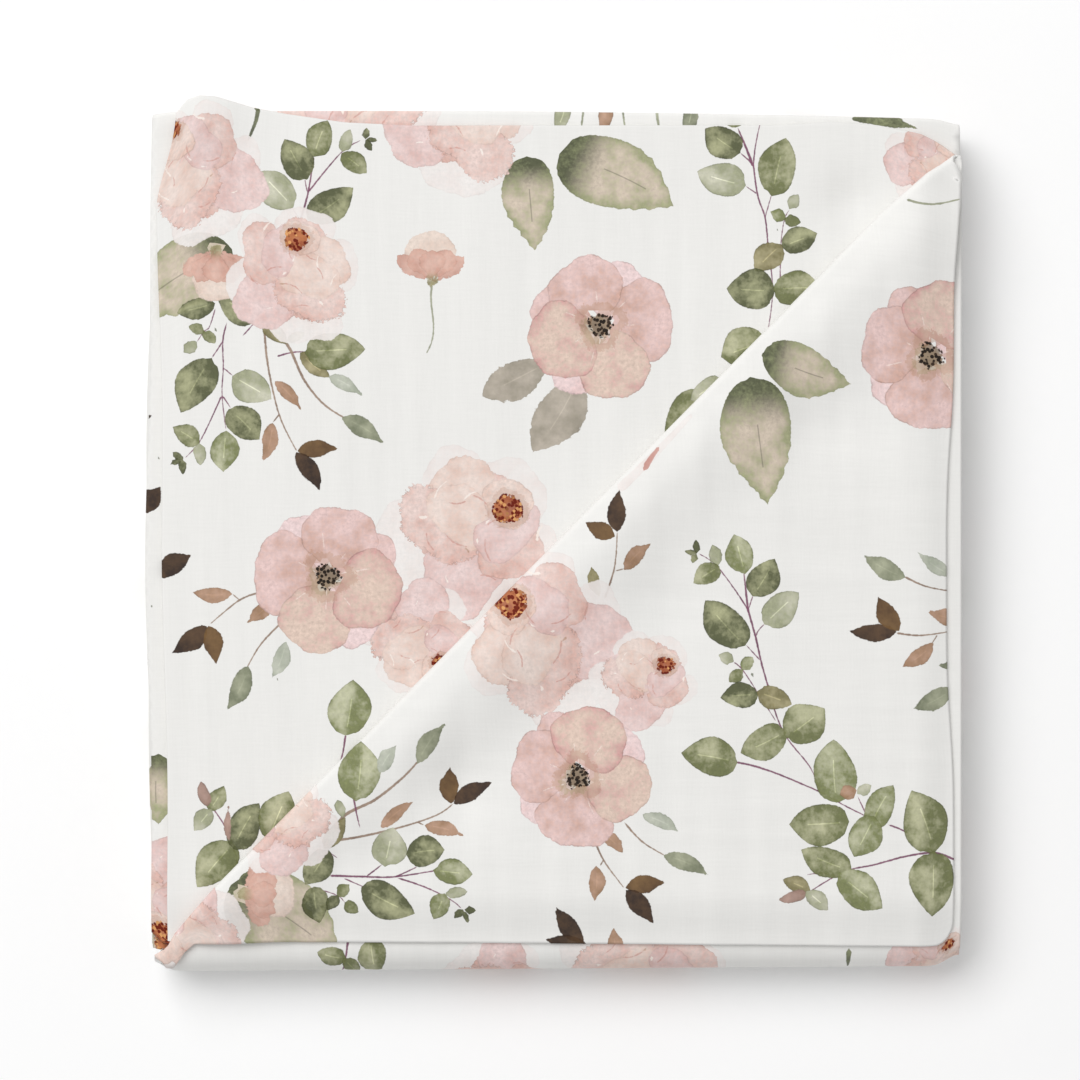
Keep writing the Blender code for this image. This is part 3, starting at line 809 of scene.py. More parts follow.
# Broad toothed leaves, and the grey ones that lie behind a flower, from stalk end to tip.
BROAD_ROWS = {
    # x, y, tip x, tip y, width, ink
    "face": (
        (-10, 140.5, -7, 105.5, 19.5, "tan"), (2.5, 141.5, 45, 122, 27, "tan"),
        (-120, 106, -158, 82, 27, "tan"), (-2, 64, -26.5, 51.5, 14, "grey"),
        (10, 60, -7.5, 31, 17, "grey"),
    ),
    "flap": (
        (78, 67, 110.5, 56, 18, "tan"), (73, 57.5, 79.5, 11.2, 26, "tan"),
        (-119, -130, -80, -158, 32, "tan"),
    ),
    "margin": ((-147, -82, -147, -108, 16, "tan"), (152, -80, 152, -110, 6, "tan")),
}
for index, (page, *sizes, ink) in rows_of(BROAD_ROWS):
    bend = 0.05 * math.sin(2.1 * index)
    if ink == "grey":
        shape = leaf(*sizes, full=0.5, blunt=0.7, sharp=0.75, bend=bend, seed=index, teeth=2.4)
        paint(page, shape, ink, 0.97, vein=0.25, rim=0.4, ragged=0.5, spread=(0.3, 0.1, 0.2))
        continue
    shape = leaf(*sizes, full=0.42, blunt=0.48, sharp=1.0, bend=bend, seed=index, teeth=2.6,
                 vein=(0.34, 0.74))
    paint(page, shape, ink, 0.97, vein=-0.7, rim=0.55, ragged=0.3, spread=(0.0, 0.3, 0.85))
    paint(page, shape, "moss", 0.97, rim=0.3, ragged=0.3, spread=(0.0, 2.0, 0.0), fade=(0.42, 0.08))

# Round leaves of the branches. The small ones, less than 6 mm wide, have no vein.
SMALL_LEAF = 6
LEAF_ROWS = {
    # x, y, tip x, tip y, width, ink
    "face": (
        (-92, 132.5, -100, 147, 12, "dark"), (-89, 141, -84, 154, 10.5, "green"),
        (-97, 122, -109.5, 135, 12.5, "pale"), (-91, 117.5, -74.5, 129, 12, "dark"),
        (-78.5, 142.5, -75.5, 150.5, 5, "pale"), (-78.5, 141.5, -69.5, 134.5, 8, "green"),
        (-70, 147, -69.5, 151.2, 3, "dark"), (-69.8, 146.6, -67.5, 142.8, 3, "dark"),
        (-69.5, 147, -65.3, 146.5, 2, "dark"), (-126, 86, -140, 82.5, 8, "dark"),
        (-111, 79.5, -125, 89, 11, "dark"), (-130, 75.5, -135.5, 77.5, 4.4, "green"),
        (-130, 75.5, -126, 71.2, 4.6, "green"), (-133, 71.5, -137.5, 67.8, 4.8, "pale"),
        (-127.5, 65, -138.5, 45.5, 14, "dark"), (-118.8, 58.5, -105, 50.5, 12.5, "pale"),
        (-120.5, 46.5, -109.5, 35.5, 12.5, "dark"), (-121.8, 38, -122.8, 23.5, 10.6, "fresh"),
        (-131.8, 34, -141.5, 40, 7.6, "green"), (-131.8, 34, -131.3, 26, 5, "pale"),
        (-138, 28, -141.5, 30.6, 3, "dark"), (-138, 28, -142.6, 26, 2.2, "dark"),
        (-138, 28, -137.8, 22.6, 3.2, "dark"), (-108, 78, -99, 71, 6, "olive"),
        (-99, 72, -92.5, 75, 3.6, "fresh"), (-94, 67.5, -83, 58.5, 6, "olive"),
        (-92, 68, -70, 69, 14, "green"), (69.5, 142, 56.5, 151, 12.4, "dark"),
        (68, 151.5, 66, 164, 10, "green"), (84, 164, 83.5, 152.4, 9, "green"),
        (71, 130, 53.5, 135, 13, "pale"), (81.5, 126.5, 86.5, 147.5, 14.4, "green"),
        (86, 117.5, 81, 120, 4.8, "fresh"), (86, 117.5, 92, 116, 4.6, "green"),
        (88, 121.5, 91, 126.3, 5, "pale"), (85, 107, 98, 112, 10, "dark"),
        (84.5, 107.5, 75, 98, 10, "olive"), (82, 90.5, 64.5, 91.5, 15.4, "dark"),
        (82, 91, 99.5, 91.5, 13.4, "green"), (79, 72, 62.5, 66, 17, "green"),
        (67, 59.5, 62.5, 57, 4, "fresh"), (57, 52, 41.5, 38, 14, "green"),
        (62, 58, 51, 50, 8, "pale"), (-77.3, -74.5, -74.5, -54, 15.6, "fresh"),
        (-119, -115, -132.5, -131, 14, "green"), (-119, -116.5, -109.5, -100, 12.4, "dark"),
        (-106, -113.5, -98.5, -95.5, 13.4, "green"), (-128, -102.5, -122.5, -93.5, 6.6, "green"),
        (-127.5, -102.5, -133.5, -110, 7, "pale"), (-128.5, -101, -131, -92, 4.6, "pink_brown"),
    ),
    "flap": (
        (71, -14, 67, 0, 10.4, "fresh"), (74, -22.5, 82, -9, 11.4, "dark"),
        (78.5, -33, 91, -21.5, 12, "pale"), (71, -41, 56.5, -24.5, 14.4, "dark"),
        (61, -11, 59, -4, 5, "pale"), (61.5, -12, 52, -18, 8, "green"),
        (53.2, -6.5, 52.8, -2, 3, "dark"), (53, -6.8, 48.8, -6, 2.2, "dark"),
        (53, -7, 51.6, -10.3, 3, "dark"), (66.5, -47, 61.5, -44.6, 4.8, "pale"),
        (70, -50, 74, -45.5, 5, "fresh"), (70, -50.5, 65.3, -54.5, 5, "green"),
        (75.8, -59.5, 62, -60.5, 9.4, "dark"), (76, -58.5, 88.4, -63, 8.8, "olive"),
        (86, -73, 69.5, -81, 12.8, "green"), (86.5, -75, 100.5, -64.5, 15.4, "green"),
        (68, -84.5, 47.5, -81, 14, "green"), (105, -99, 104, -76, 16.6, "fresh"),
        (109.5, -106.5, 87.5, -107.5, 16, "green"), (112, -95, 106.3, -96.5, 5.6, "rust"),
        (112.8, -96, 117.8, -93, 4.4, "pale"), (117.5, -108.5, 126, -93, 11, "fresh"),
        (119, -104.8, 111.5, -119.5, 12.6, "fresh"), (141, -117.5, 133, -95, 16.4, "green"),
        (141, -118, 140.5, -141.5, 17, "green"), (110, -124.5, 92, -117, 11.6, "green"),
        (106, -126, 122, -138.5, 12.8, "fresh"), (95, -132, 85, -128, 6.2, "olive"),
        (94, -133, 83.8, -135.5, 4.4, "pink_brown"), (94, -132.5, 102, -139.2, 6.6, "pale"),
        (-73, -98, -71, -77, 15, "fresh"), (-85, -116, -77, -104.5, 6, "olive"),
        (-80, -98.5, -78, -104.5, 4, "pale"), (-83.5, -117, -92, -129.5, 10.6, "dark"),
        (-89, -130.5, -87, -144, 9.6, "dark"), (-62.5, -122.5, -59.5, -108.5, 13.4, "pale"),
        (-54, -118.5, -40.5, -117, 12.2, "dark"), (-44, -124.5, -30, -126, 9.6, "fresh"),
        (-71, -131, -51.5, -140.5, 12.6, "dark"), (-40.5, -133.5, -44.5, -142.5, 7.8, "fresh"),
        (-40, -133.5, -32, -132.5, 4.2, "pale"), (-33.5, -139, -36.8, -142.2, 3, "dark"),
        (-33, -139, -28.8, -139.4, 3, "dark"), (-33.2, -140, -31.8, -144, 2.2, "dark"),
        (-80, -134, -76, -130, 5, "green"), (-80, -134, -84, -139, 4.6, "dark"),
        (-77.5, -136.5, -72.4, -140, 4.8, "green"),
    ),
    "roll": (
        (-77.5, -157, -88, -154.5, 7.4, "green"), (-78, -157, -72.5, -163.5, 6, "green"),
        (-68, -150, -66, -163.5, 10.4, "green"),
    ),
    "margin": (
        (5, 160, 1, 150, 6, "pale"), (52, 160, 49, 149, 6, "sage"), (20, 161, 19, 150, 5.4, "rust"),
    ),
}
for index, (page, *sizes, ink) in rows_of(LEAF_ROWS):
    small = sizes[4] < SMALL_LEAF
    shape = leaf(*sizes, full=0.44, blunt=0.47, sharp=0.55 if small else 0.8,
                 bend=0.03 * math.sin(1.7 * index), seed=1.7 * index, vein=(0.13, 0.74))
    paint(page, shape, ink, 0.97, vein=0.0 if small else 0.58, rim=1.0, ragged=0.22,
          spread=(0.78, -0.75, 0.6), lean=0.3 * math.sin(2.3 * index))

# Buds and narrow leaves that end in a thin point.
POINTED_ROWS = {
    # x, y, tip x, tip y, width, ink
    "face": (
        (-95, 31, -80.3, 32, 6.6, "brown_bud"), (-95.5, 30.5, -86.8, 16.2, 7.2, "bud"),
        (-147, -15.5, -134.5, -7.5, 8, "bud"), (-129, -34, -142, -44, 7.8, "bud"),
        (-128.3, -34, -125.4, -48.5, 7.2, "brown_bud"), (-103.5, 57, -93.8, 46.3, 5, "rust"),
        (-104.5, 41.5, -107.8, 27.5, 6.4, "rust"), (-119.5, -22, -134.5, -21.4, 6, "rust"),
        (-104.5, -24, -114, -32.6, 5.4, "rust"), (-78.5, 43.5, -63.2, 34.2, 7, "sage"),
        (-83.5, 59, -71.5, 52, 5.4, "mist"), (-113.5, -49, -121.2, -65, 8, "sage"),
        (-99.5, -40, -104.8, -53.5, 6.4, "mist"), (-120.5, -114, -120.8, -101, 2.6, "pink_brown"),
    ),
    "flap": (
        (23.5, 1, 24.6, 16.6, 6.8, "bud"), (22.5, -0.5, 12.2, 4.4, 7, "brown_bud"),
        (26, -12.8, 36, -3.2, 6.2, "rust"), (16.8, -22.5, 14, -11, 4.4, "olive"),
        (130.5, -15.8, 114.8, -7.3, 7.2, "sage"), (147.6, -15, 135, -6.4, 5.4, "mist"),
        (127, -36, 109.5, -35.6, 7, "bud"), (128, -35.5, 120.4, -22.8, 8, "brown_bud"),
        (140.8, -40.5, 129, -49.2, 6.2, "rust"), (151, -31, 139, -28.8, 6, "rust"),
        (150, -48, 143, -48.6, 3, "sage"), (148, -57.5, 133, -64.6, 7.6, "sage"),
        (17, -110, 26, -118.2, 5.2, "rust"), (15.8, -123, 15, -136, 6.2, "rust"),
        (27, -131, 41.5, -129.4, 6.6, "brown_bud"), (27, -132, 37.2, -144.5, 7.2, "bud"),
        (41, -119, 57.4, -126.2, 6.8, "sage"), (33, -104, 46.8, -110.4, 5.6, "mist"),
        (11, -151.5, 0.8, -137.4, 7, "bud"), (12, -152, -3, -150.4, 6, "bud"),
        (24, -157, 22.5, -146, 6, "rust"), (-64.5, -88, -58, -78, 6, "mist"),
        (-50.5, -84.5, -40.4, -70, 6.8, "sage"), (-38, -100, -38.4, -85.8, 7, "brown_bud"),
        (-37, -100, -22.8, -92, 6.4, "bud"), (-64, -108.5, -52, -99, 5, "rust"),
        (-47.8, -108, -33.8, -111.8, 6, "rust"),
    ),
    "roll": ((-69.5, -150, -56.5, -149.2, 3.2, "moss"),),
    "margin": (
        (-153, 8, -146, 18, 8, "bud"), (-154, 41.5, -149.4, 44.6, 2.4, "bud"),
        (152, 2.5, 150.5, 20, 5, "bud"), (152, 26, 151, 34, 4, "rust"),
        (111, 154.6, 136, 151, 4.5, "moss"),
    ),
}
for index, (page, *sizes, ink) in rows_of(POINTED_ROWS):
    shape = leaf(*sizes, full=0.44, blunt=0.72, sharp=1.25, bend=0.05, seed=1.3 * index, tail=0.42,
                 teeth=1.5)
    paint(page, shape, ink, 0.98, vein=0.0 if ink.endswith("bud") else 0.18, rim=0.5, ragged=0.3,
          spread=(0.3, 0.2, 0.2))

# Poppies seen from the side, with their stem where it shows. Their petals are shares of their
# size.
POPPY_ROWS = {
    # x, y, size, turn, stem
    "face": (
        (-45, 93.3, 26, 90, ((-45, 94), (-45.6, 88), (-44.6, 78), (-45.2, 72), (-47.2, 67.5))),
        (-125.5, 107, 27, 270, ()),
    ),
    "flap": ((-116, -133, 27, 0, ()), (115, -170, 22, 90, ())),
}
POPPY_PETAL_ROWS = (
    # turn, length, width
    (51, 0.62, 0.27),
    (-49, 0.57, 0.27),
    (29, 0.55, 0.34),
    (-28, 0.53, 0.34),
    (1, 0.48, 0.38),
)
for index, (page, x, y, size, turn, path) in rows_of(POPPY_ROWS):
    if path:
        paint(page, stem(curve(path), 0.8), "stalk", 0.9, rim=0.1, ragged=0.15)
    shape = petal(x, y, size * 0.74, size * 0.74, turn + 4, ruffle=0.04, seed=2.0 + index, share=0.62)
    paint(page, shape, "shell", 0.94, rim=0.4, ragged=0.4, spread=(0.7, -0.6, 0.2))
    for step, (lean, length, width) in enumerate(POPPY_PETAL_ROWS):
        tip = ahead_of(x, y, math.radians(turn + lean), size * length)
        shape = leaf(x, y, *tip, size * width, full=0.68, blunt=1.2, sharp=0.4, bend=0.0,
                     seed=step + index)
        paint(page, shape, "peach", 0.94, rim=0.4, ragged=0.7, spread=(0.2, 0.1, 0.4))
    shape = petal(x, y, size * 0.2, size * 0.16, turn, ruffle=0.06, seed=index, share=0.4)
    paint(page, shape, "olive", 0.9, rim=0.0, ragged=0.6, fade=(1.0, 0.1))

# Full roses with a rusty heart off their middle. Their petals and lines are shares of their size,
# where up is towards the heart. No two have quite the same petals, and a flip of -1 mirrors them.
ROSE_ROWS = {
    # x, y, size, heart x, heart y, heart size, flip
    "face": (
        (-132.5, 135.5, 46, -141.8, 150.6, 7.5, -1), (-97, 97, 46, -95.7, 110, 9.4, 1),
        (-36, 158, 54, -30, 175, 8, 1), (-30, 1, 58, -17, 9.5, 11.6, -1),
        (-49, -39, 40, -42.5, -47.5, 6, 1), (140, 139, 32, 147, 147, 5, 1),
    ),
    "flap": (
        (-3, -38, 57, -15.5, -25.5, 12, -1), (34, -54, 34, 41.5, -48.5, 7, -1),
        (-101, -107, 36, -116, -92, 4, 1), (-136, -146, 38, -152, -158, 3, -1),
    ),
    "roll": (
        (-20, -168, 36, -14, -176, 5, 1), (34, -160, 52, 44, -172, 6, 1),
        (140, -160, 30, 147, -155.5, 5, 1),
    ),
    "margin": (
        (-76, 160, 54, -84, 168, 6, 1), (-150, -134, 42, -146.2, -149.5, 11.5, 1),
        (155, -128, 30, 160, -120, 5, 1),
    ),
}
ROSE_PETAL_ROWS = (
    # right, up, length, width, turn, ink, strength, rim, ragged
    (-0.30, 0.26, 0.36, 0.34, 125, "outer", 0.9, 0.12, 0.3),
    (0.08, 0.36, 0.34, 0.50, 80, "outer", 0.9, 0.12, 0.3),
    (0.36, 0.10, 0.36, 0.42, 10, "outer", 0.9, 0.12, 0.3),
    (0.16, -0.36, 0.34, 0.60, -80, "outer", 0.9, 0.2, 0.45),
    (-0.36, -0.10, 0.34, 0.36, -150, "outer", 0.9, 0.12, 0.3),
    (0.02, 0.02, 0.76, 0.72, 95, "blush", 0.97, 0.5, 0.9),
    (-0.19, -0.21, 0.56, 0.50, -118, "mauve", 0.97, 0.45, 0.35),
    (0.28, 0.12, 0.34, 0.42, 30, "beige", 0.95, 0.35, 0.5),
    (0.15, -0.16, 0.62, 0.34, -24, "blush", 0.95, 1.0, 1.5),
    (-0.25, 0.14, 0.48, 0.32, 100, "blush", 0.95, 0.45, 0.4),
    (0.13, 0.00, 0.48, 0.34, -8, "beige", 0.93, 0.35, 0.5),
    (-0.12, 0.18, 0.44, 0.28, 85, "mauve", 0.93, 0.4, 0.35),
    (0.03, 0.29, 0.29, 0.34, 75, "beige", 0.95, 0.55, 0.3),
)
# Its slivers left white, its short brown tick and the folds drawn between its petals.
ROSE_LINE_ROWS = (
    # right, up, turn, length, width, ink
    (-0.24, 0.36, 55, 0.11, 0.020, "cream"),
    (0.20, 0.12, 92, 0.12, 0.014, "cream"),
    (-0.06, 0.00, 40, 0.04, 0.024, "cream"),
    (0.00, 0.12, 80, 0.06, 0.014, "cream"),
    (0.34, -0.02, 70, 0.14, 0.011, "cream"),
    (0.26, -0.22, -50, 0.05, 0.026, "cream"),
    (-0.16, -0.30, 20, 0.07, 0.013, "cream"),
    (-0.07, -0.09, 5, 0.05, 0.018, "rust"),
    (0.14, 0.15, 160, 0.12, 0.010, "rim"),
    (-0.15, 0.02, 20, 0.16, 0.010, "rim"),
    (0.02, -0.12, -25, 0.18, 0.010, "rim"),
    (0.22, 0.02, -60, 0.13, 0.010, "rim"),
    (-0.03, 0.17, 105, 0.13, 0.010, "rim"),
    (-0.30, -0.08, 140, 0.12, 0.009, "rim"),
    (0.10, -0.26, 10, 0.14, 0.009, "rim"),
)
HEART_ROWS = (
    # scale, ink, strength, ragged, flecks
    (1.35, "tawny", 0.35, 1.2, 0.0),
    (0.94, "heart", 0.92, 1.2, 0.0),
    (1.02, "fleck", 0.97, 0.4, 1.0),
)
PETAL_LENGTHS_VARY = 0.08
PETAL_TURNS_VARY = 6.0
LINE_BOW = 0.12
for index, (page, x, y, size, heart_x, heart_y, heart, flip) in rows_of(ROSE_ROWS):
    up = math.atan2(heart_y - y, heart_x - x)
    ux, uy = math.cos(up), math.sin(up)
    rx, ry = flip * uy, -flip * ux
    for step, row in enumerate(ROSE_PETAL_ROWS):
        right, ahead, length, width, turn, ink, strength, rim, ragged = row
        seed = 1.9 * index + 1.3 * step
        along = size * length * (1.0 + PETAL_LENGTHS_VARY * math.sin(seed))
        heading = math.degrees(up) + flip * (turn - 90.0) + PETAL_TURNS_VARY * math.cos(seed)
        middle_x = x + size * (right * rx + ahead * ux)
        middle_y = y + size * (right * ry + ahead * uy)
        root = ahead_of(middle_x, middle_y, math.radians(heading), -along / 2)
        shape = petal(*root, along, size * width, heading, ruffle=0.055, seed=seed, share=0.5)
        paint(page, shape, ink, strength, rim=rim, ragged=ragged, spread=(0.55, -0.45, 0.25))
    for right, ahead, turn, length, width, ink in ROSE_LINE_ROWS:
        heading = up + flip * math.radians(turn - 90.0)
        middle_x = x + size * (right * rx + ahead * ux)
        middle_y = y + size * (right * ry + ahead * uy)
        bowed = ahead_of(middle_x, middle_y, heading + math.pi / 2, size * length * LINE_BOW)
        path = (
            ahead_of(middle_x, middle_y, heading, -size * length / 2),
            bowed,
            ahead_of(middle_x, middle_y, heading, size * length / 2),
        )
        drawn = stem(curve(path, 4), size * width, thin=0.6 if ink == "rim" else 0.3)
        paint(page, drawn, ink, 0.9 if ink == "cream" else 0.75, rim=0.0, ragged=0.3)
    for scale, ink, strength, ragged, flecks in HEART_ROWS:
        wide = heart * scale
        shape = petal(heart_x - wide / 2, heart_y, wide, wide * 0.94, 0, ruffle=0.06, seed=index,
                      share=0.5)
        paint(page, shape, ink, strength, rim=0.3, ragged=ragged, spread=(0.55, 0.0, 0.0),
              flecks=flecks)

# Open flowers: petals as shares of their size, pale rays, a shaded middle and dark stamens.
FLOWER_ROWS = {
    # x, y, size, turn, flip
    "face": ((17.5, 78, 53, 0, 1), (-84, -15.5, 54, 3, -1)),
    "flap": ((140, 66.5, 54, 95, -1), (9, -90, 51, 95, -1)),
}
OPEN_PETAL_ROWS = (
    # turn, length, width, ink, edge share
    (60, 0.47, 0.44, "petal_pale", 0.1),
    (-117, 0.53, 0.42, "petal_pale", 0.3),
    (6, 0.51, 0.58, "petal_pink", 0.1),
    (160, 0.5, 0.40, "petal_pink", 0.2),
    (112, 0.49, 0.54, "petal_pink", 0.1),
    (-72, 0.54, 0.50, "petal_tan", 0.25),
    (203, 0.52, 0.56, "petal_tan", 0.75),
)
SHADED_ROWS = (
    # width, how far off the middle, ink, strength
    (0.34, 0.0, "tawny", 0.5),
    (0.2, 0.03, "olive", 0.4),
)
STAMEN_ROWS = (
    # width, ink, strength, flecks
    (0.15, "brown_bud", 0.65, 0.0),
    (0.18, "stamen", 0.98, 1.0),
)
RAYS = 7


def ray(page, place, angle, near, far, width, thin, ragged):
    """A pale line outwards from the middle of a flower."""
    ends = [ahead_of(*place, angle, reach) for reach in (near, far)]
    paint(page, stem(ends, width, thin), "cream", 0.5, rim=0.0, ragged=ragged)


for index, (page, x, y, size, turn, flip) in rows_of(FLOWER_ROWS):
    for step, (way, length, width, ink, edge) in enumerate(OPEN_PETAL_ROWS):
        heading = turn + (way if flip > 0 else 180 - way)
        shape = petal(x, y, size * length, size * width, heading, ruffle=0.045,
                      seed=2.3 * step + 0.4 * index, share=0.56)
        root = 0.85 if ink == "petal_pink" else 0.18
        paint(page, shape, ink, 0.97, rim=0.8, ragged=0.3, spread=(root, -root, edge))
    for step in range(RAYS):
        angle = math.radians(turn + 51.4 * step + 9.0 * math.sin(5.0 * step + index))
        far = 0.5 + 0.5 * math.sin(3.0 * step + index)
        ray(page, (x, y), angle, size * (0.14 + 0.06 * far), size * (0.2 + 0.12 * far), width=0.5,
            thin=0.3, ragged=0.3)
    for wide, away, ink, strength in SHADED_ROWS:
        shape = petal(x - size * (wide / 2 + away), y - size * away, size * wide, size * wide, 0,
                      ruffle=0.12, seed=index + wide, share=0.5)
        paint(page, shape, ink, strength, rim=0.0, ragged=1.8)
    for step in range(RAYS):
        angle = math.radians(51 * step + 14.0 * math.sin(4.0 * step + index))
        far = 0.11 + 0.04 * math.sin(2.7 * step + index)
        ray(page, (x, y), angle, size * 0.09, size * far, width=0.45, thin=0.4, ragged=0.25)
    for wide, ink, strength, flecks in STAMEN_ROWS:
        shape = petal(x - size * wide / 2, y, size * wide, size * wide, 0, ruffle=0.12, seed=index,
                      share=0.5)
        paint(page, shape, ink, strength, rim=0.0, ragged=0.9, flecks=flecks)

# Which page each triangle of the cloth takes its print from, and where on the page it lies: for
# the roll, the height is measured round its front. The table side has the face's and flap's print.
ROLL_PAGE_Y = -150.0
FLAP_PAGE_FROM = -0.2 * MM

plan = places[faces][:, :, :2] / MM
along = strip[faces][:, :, 1]
across = strip[faces][:, :, 0] / TOP_WIDTH
middle_along = along.mean(axis=1)
roll_end = TOP_START + ROLL_PAGE_Y * MM - TOP_Y[0]
round_front = ROLL_PAGE_Y - (roll_end - along) / MM
beyond = beyond_fold(across.mean(axis=1), middle_along)
on_shoulder = (middle_along >= ROLL_START) & (middle_along < roll_end)
on_shoulder &= beyond <= FLAP_PAGE_FROM
plan[:, :, 1] = np.where(on_shoulder[:, None], round_front, plan[:, :, 1])
layer = np.interp(middle_along, ALONG, STATIONS[:, 4])
on_top_layer = middle_along > TOP_START
page_of = np.full(len(faces), "none", dtype=object)
page_of[(layer < LAYERS - 1) & (middle_along >= FACE_END) & (middle_along < ROLL_START)] = "margin"
page_of[middle_along < FACE_END] = "face"
page_of[on_shoulder] = "roll"
page_of[on_top_layer & (beyond > FLAP_PAGE_FROM)] = "flap"
page_of[(middle_along >= LOWEST_START) & (middle_along < ROLL_START)] = "under"
is_under = page_of == "under"
plan[is_under, :, 1] *= -1.0
pages["under"] = pages["face"] + pages["flap"]

# The folds deeper in the pile show other places of the print, another for each pair of layers.
PRINT_WIDTH = 300.0
BACK_FOLD_Y = 140.0

deeper = np.maximum(0.0, (LAYERS - 2) / 2 - 1 - np.floor((layer + 1.0) / 2)) * (page_of == "margin")
middles = plan.mean(axis=1)
at_back = middles[:, 1] > BACK_FOLD_Y
for axis, drift, at_fold in ((0, 83.0, at_back), (1, 57.0, ~at_back)):
    moved = (middles[:, axis] + drift * deeper + PRINT_WIDTH / 2) % PRINT_WIDTH - PRINT_WIDTH / 2
    moved = np.where(at_fold & (deeper > 0.0), moved - middles[:, axis], 0.0)
    plan[:, :, axis] += moved[:, None]


def linear(code):
    """A colour's linear red, green and blue from its sRGB hex code."""
    shares = [int(code[place:place + 2], 16) / 255 for place in (1, 3, 5)]
    return [v / 12.92 if v <= 0.04045 else ((v + 0.055) / 1.055) ** 2.4 for v in shares]


# The washes on each triangle, as a stack in the corners' colours: the form of each shape there,
# its manner, and its two washes. A shape that covers a triangle whole hides what is under it, and
# a full stack loses its lowest shape but one. The slacks allow for the uneven edge, and for a
# shape's middle line that runs nearer to a triangle than to its corners.
FIELDS = ("form", "manner", "first", "second")
EMPTY = (-10.0, 0.0, LONG_WAY, 1.0)
TRIANGLE_REACH = 2.0
CORNER_SLACK = 1.4
EDGE_SLACK = 0.3
COVER_SLACK = 0.6
RAGGED_SCALE = 4.0
RIM_WASH = 2.5

form = np.full((DEPTH, len(faces), 3, 4), EMPTY)
manner = np.zeros((DEPTH, len(faces), 3, 4))
washes = np.zeros((2, DEPTH, len(faces), 3, 4))
held = np.zeros(len(faces), dtype=int)
for page, shapes in pages.items():
    chosen = np.nonzero(page_of == page)[0]
    corners = plan[chosen]
    centres = corners.mean(axis=1)
    for shape, (x, y, reach), ink, strength, vein, rim, ragged, spread, flecks, fade, lean in shapes:
        near = np.hypot(centres[:, 0] - x, centres[:, 1] - y) < reach + ragged + TRIANGLE_REACH
        picked = chosen[near]
        half, side, aside, inner = shape(corners[near, :, 0], corners[near, :, 1])
        away = np.abs(side)
        crossing = (side.min(axis=1) < 0.0) & (side.max(axis=1) > 0.0)
        least = np.where(crossing, 0.0, away.min(axis=1) - CORNER_SLACK)
        reached = half.max(axis=1) - np.maximum(least, 0.0) > -(ragged + EDGE_SLACK)
        covered = (half - away).min(axis=1) > ragged + COVER_SLACK
        root, tip, edge = spread
        second = root + tip * inner + edge * np.exp(-np.maximum(half - away, 0.0) / RIM_WASH)
        second = second + lean * np.tanh(side)
        strong = strength * smooth((inner - fade[0]) / (fade[1] - fade[0]))
        data = np.stack((half, side, aside, np.ones_like(half)), axis=-1)
        style = np.stack((
            np.full(half.shape, 0.5 + vein / 2),
            np.full(half.shape, rim),
            np.full(half.shape, ragged / RAGGED_SCALE),
            np.clip(second, 0.0, 1.0),
        ), axis=-1)
        full = covered & (strength > 0.9) & (flecks == 0.0) & (fade == SOLID)
        held[picked[full]] = 0
        picked, data, style, strong = (part[reached] for part in (picked, data, style, strong))
        over_full = picked[held[picked] == DEPTH]
        for store in (form, manner, washes[0], washes[1]):
            store[1:DEPTH - 1, over_full] = store[2:DEPTH, over_full]
        held[over_full] -= 1
        slot = held[picked]
        form[slot, picked] = data
        manner[slot, picked] = style
        for wash, extra, code in zip(washes, (strong, flecks), INKS[ink]):
            wash[slot, picked, :, :3] = linear(code)
            wash[slot, picked, :, 3] = extra
        held[picked] += 1
for level in range(DEPTH):
    empty = held <= level
    form[level, empty] = EMPTY
    for name, values in zip(FIELDS, (form, manner, *washes)):
        kind = "FLOAT_COLOR" if name == "form" else "BYTE_COLOR"
        field = cloth_mesh.color_attributes.new(f"{name}_{level}", kind, "CORNER")
        field.data.foreach_set("color", values[level].reshape(-1).astype(np.float32))
grain = cloth_mesh.uv_layers.new(name="cloth_mm")
grain.data.foreach_set("uv", (strip[faces].reshape(-1) / MM).astype(np.float32))

# Printed cotton muslin: the print's washes over white cloth with a fine slubby weave.
WHITE = "#edece9"
muslin = bpy.data.materials.new("printed_cotton_muslin")
muslin.use_nodes = True
muslin.node_tree.nodes.clear()


def add(tree, kind, inputs, **settings):
    """Adds a node with its settings, its values and its links, and gives its outputs."""
    made = tree.nodes.new(kind)
    for name, value in settings.items():
        setattr(made, name, value)
    for key, value in inputs.items():
        if isinstance(value, bpy.types.NodeSocket):
            tree.links.new(value, made.inputs[key])
        else:
            made.inputs[key].default_value = value
    return made.outputs


# One wash of the print over what lies under it, used once for each level of the stack.
wash = bpy.data.node_groups.new("print_wash", "ShaderNodeTree")
for name, kind in (
    ("under", "Color"), ("form", "Color"), ("manner", "Color"), ("second_share", "Float"),
    ("first", "Color"), ("strength", "Float"), ("second", "Color"), ("flecked", "Float"),
    ("ragged", "Float"), ("mottle", "Float"), ("patch", "Float"), ("grain", "Float"),
    ("fleck", "Float"), ("fleck_tone", "Float"),
):
    wash.interface.new_socket(name=name, in_out="INPUT", socket_type=f"NodeSocket{kind}")
wash.interface.new_socket(name="over", in_out="OUTPUT", socket_type="NodeSocketColor")
given = add(wash, "NodeGroupInput", {})
half, side, aside = add(wash, "ShaderNodeSeparateColor", {0: given["form"]})
vein, rim, uneven = add(wash, "ShaderNodeSeparateColor", {0: given["manner"]})
away = add(wash, "ShaderNodeMath", {0: side}, operation="ABSOLUTE")[0]
edge = add(wash, "ShaderNodeMath", {0: half, 1: away}, operation="SUBTRACT")[0]
edge = add(wash, "ShaderNodeMath", {0: given["ragged"], 1: uneven, 2: edge},
           operation="MULTIPLY_ADD")[0]
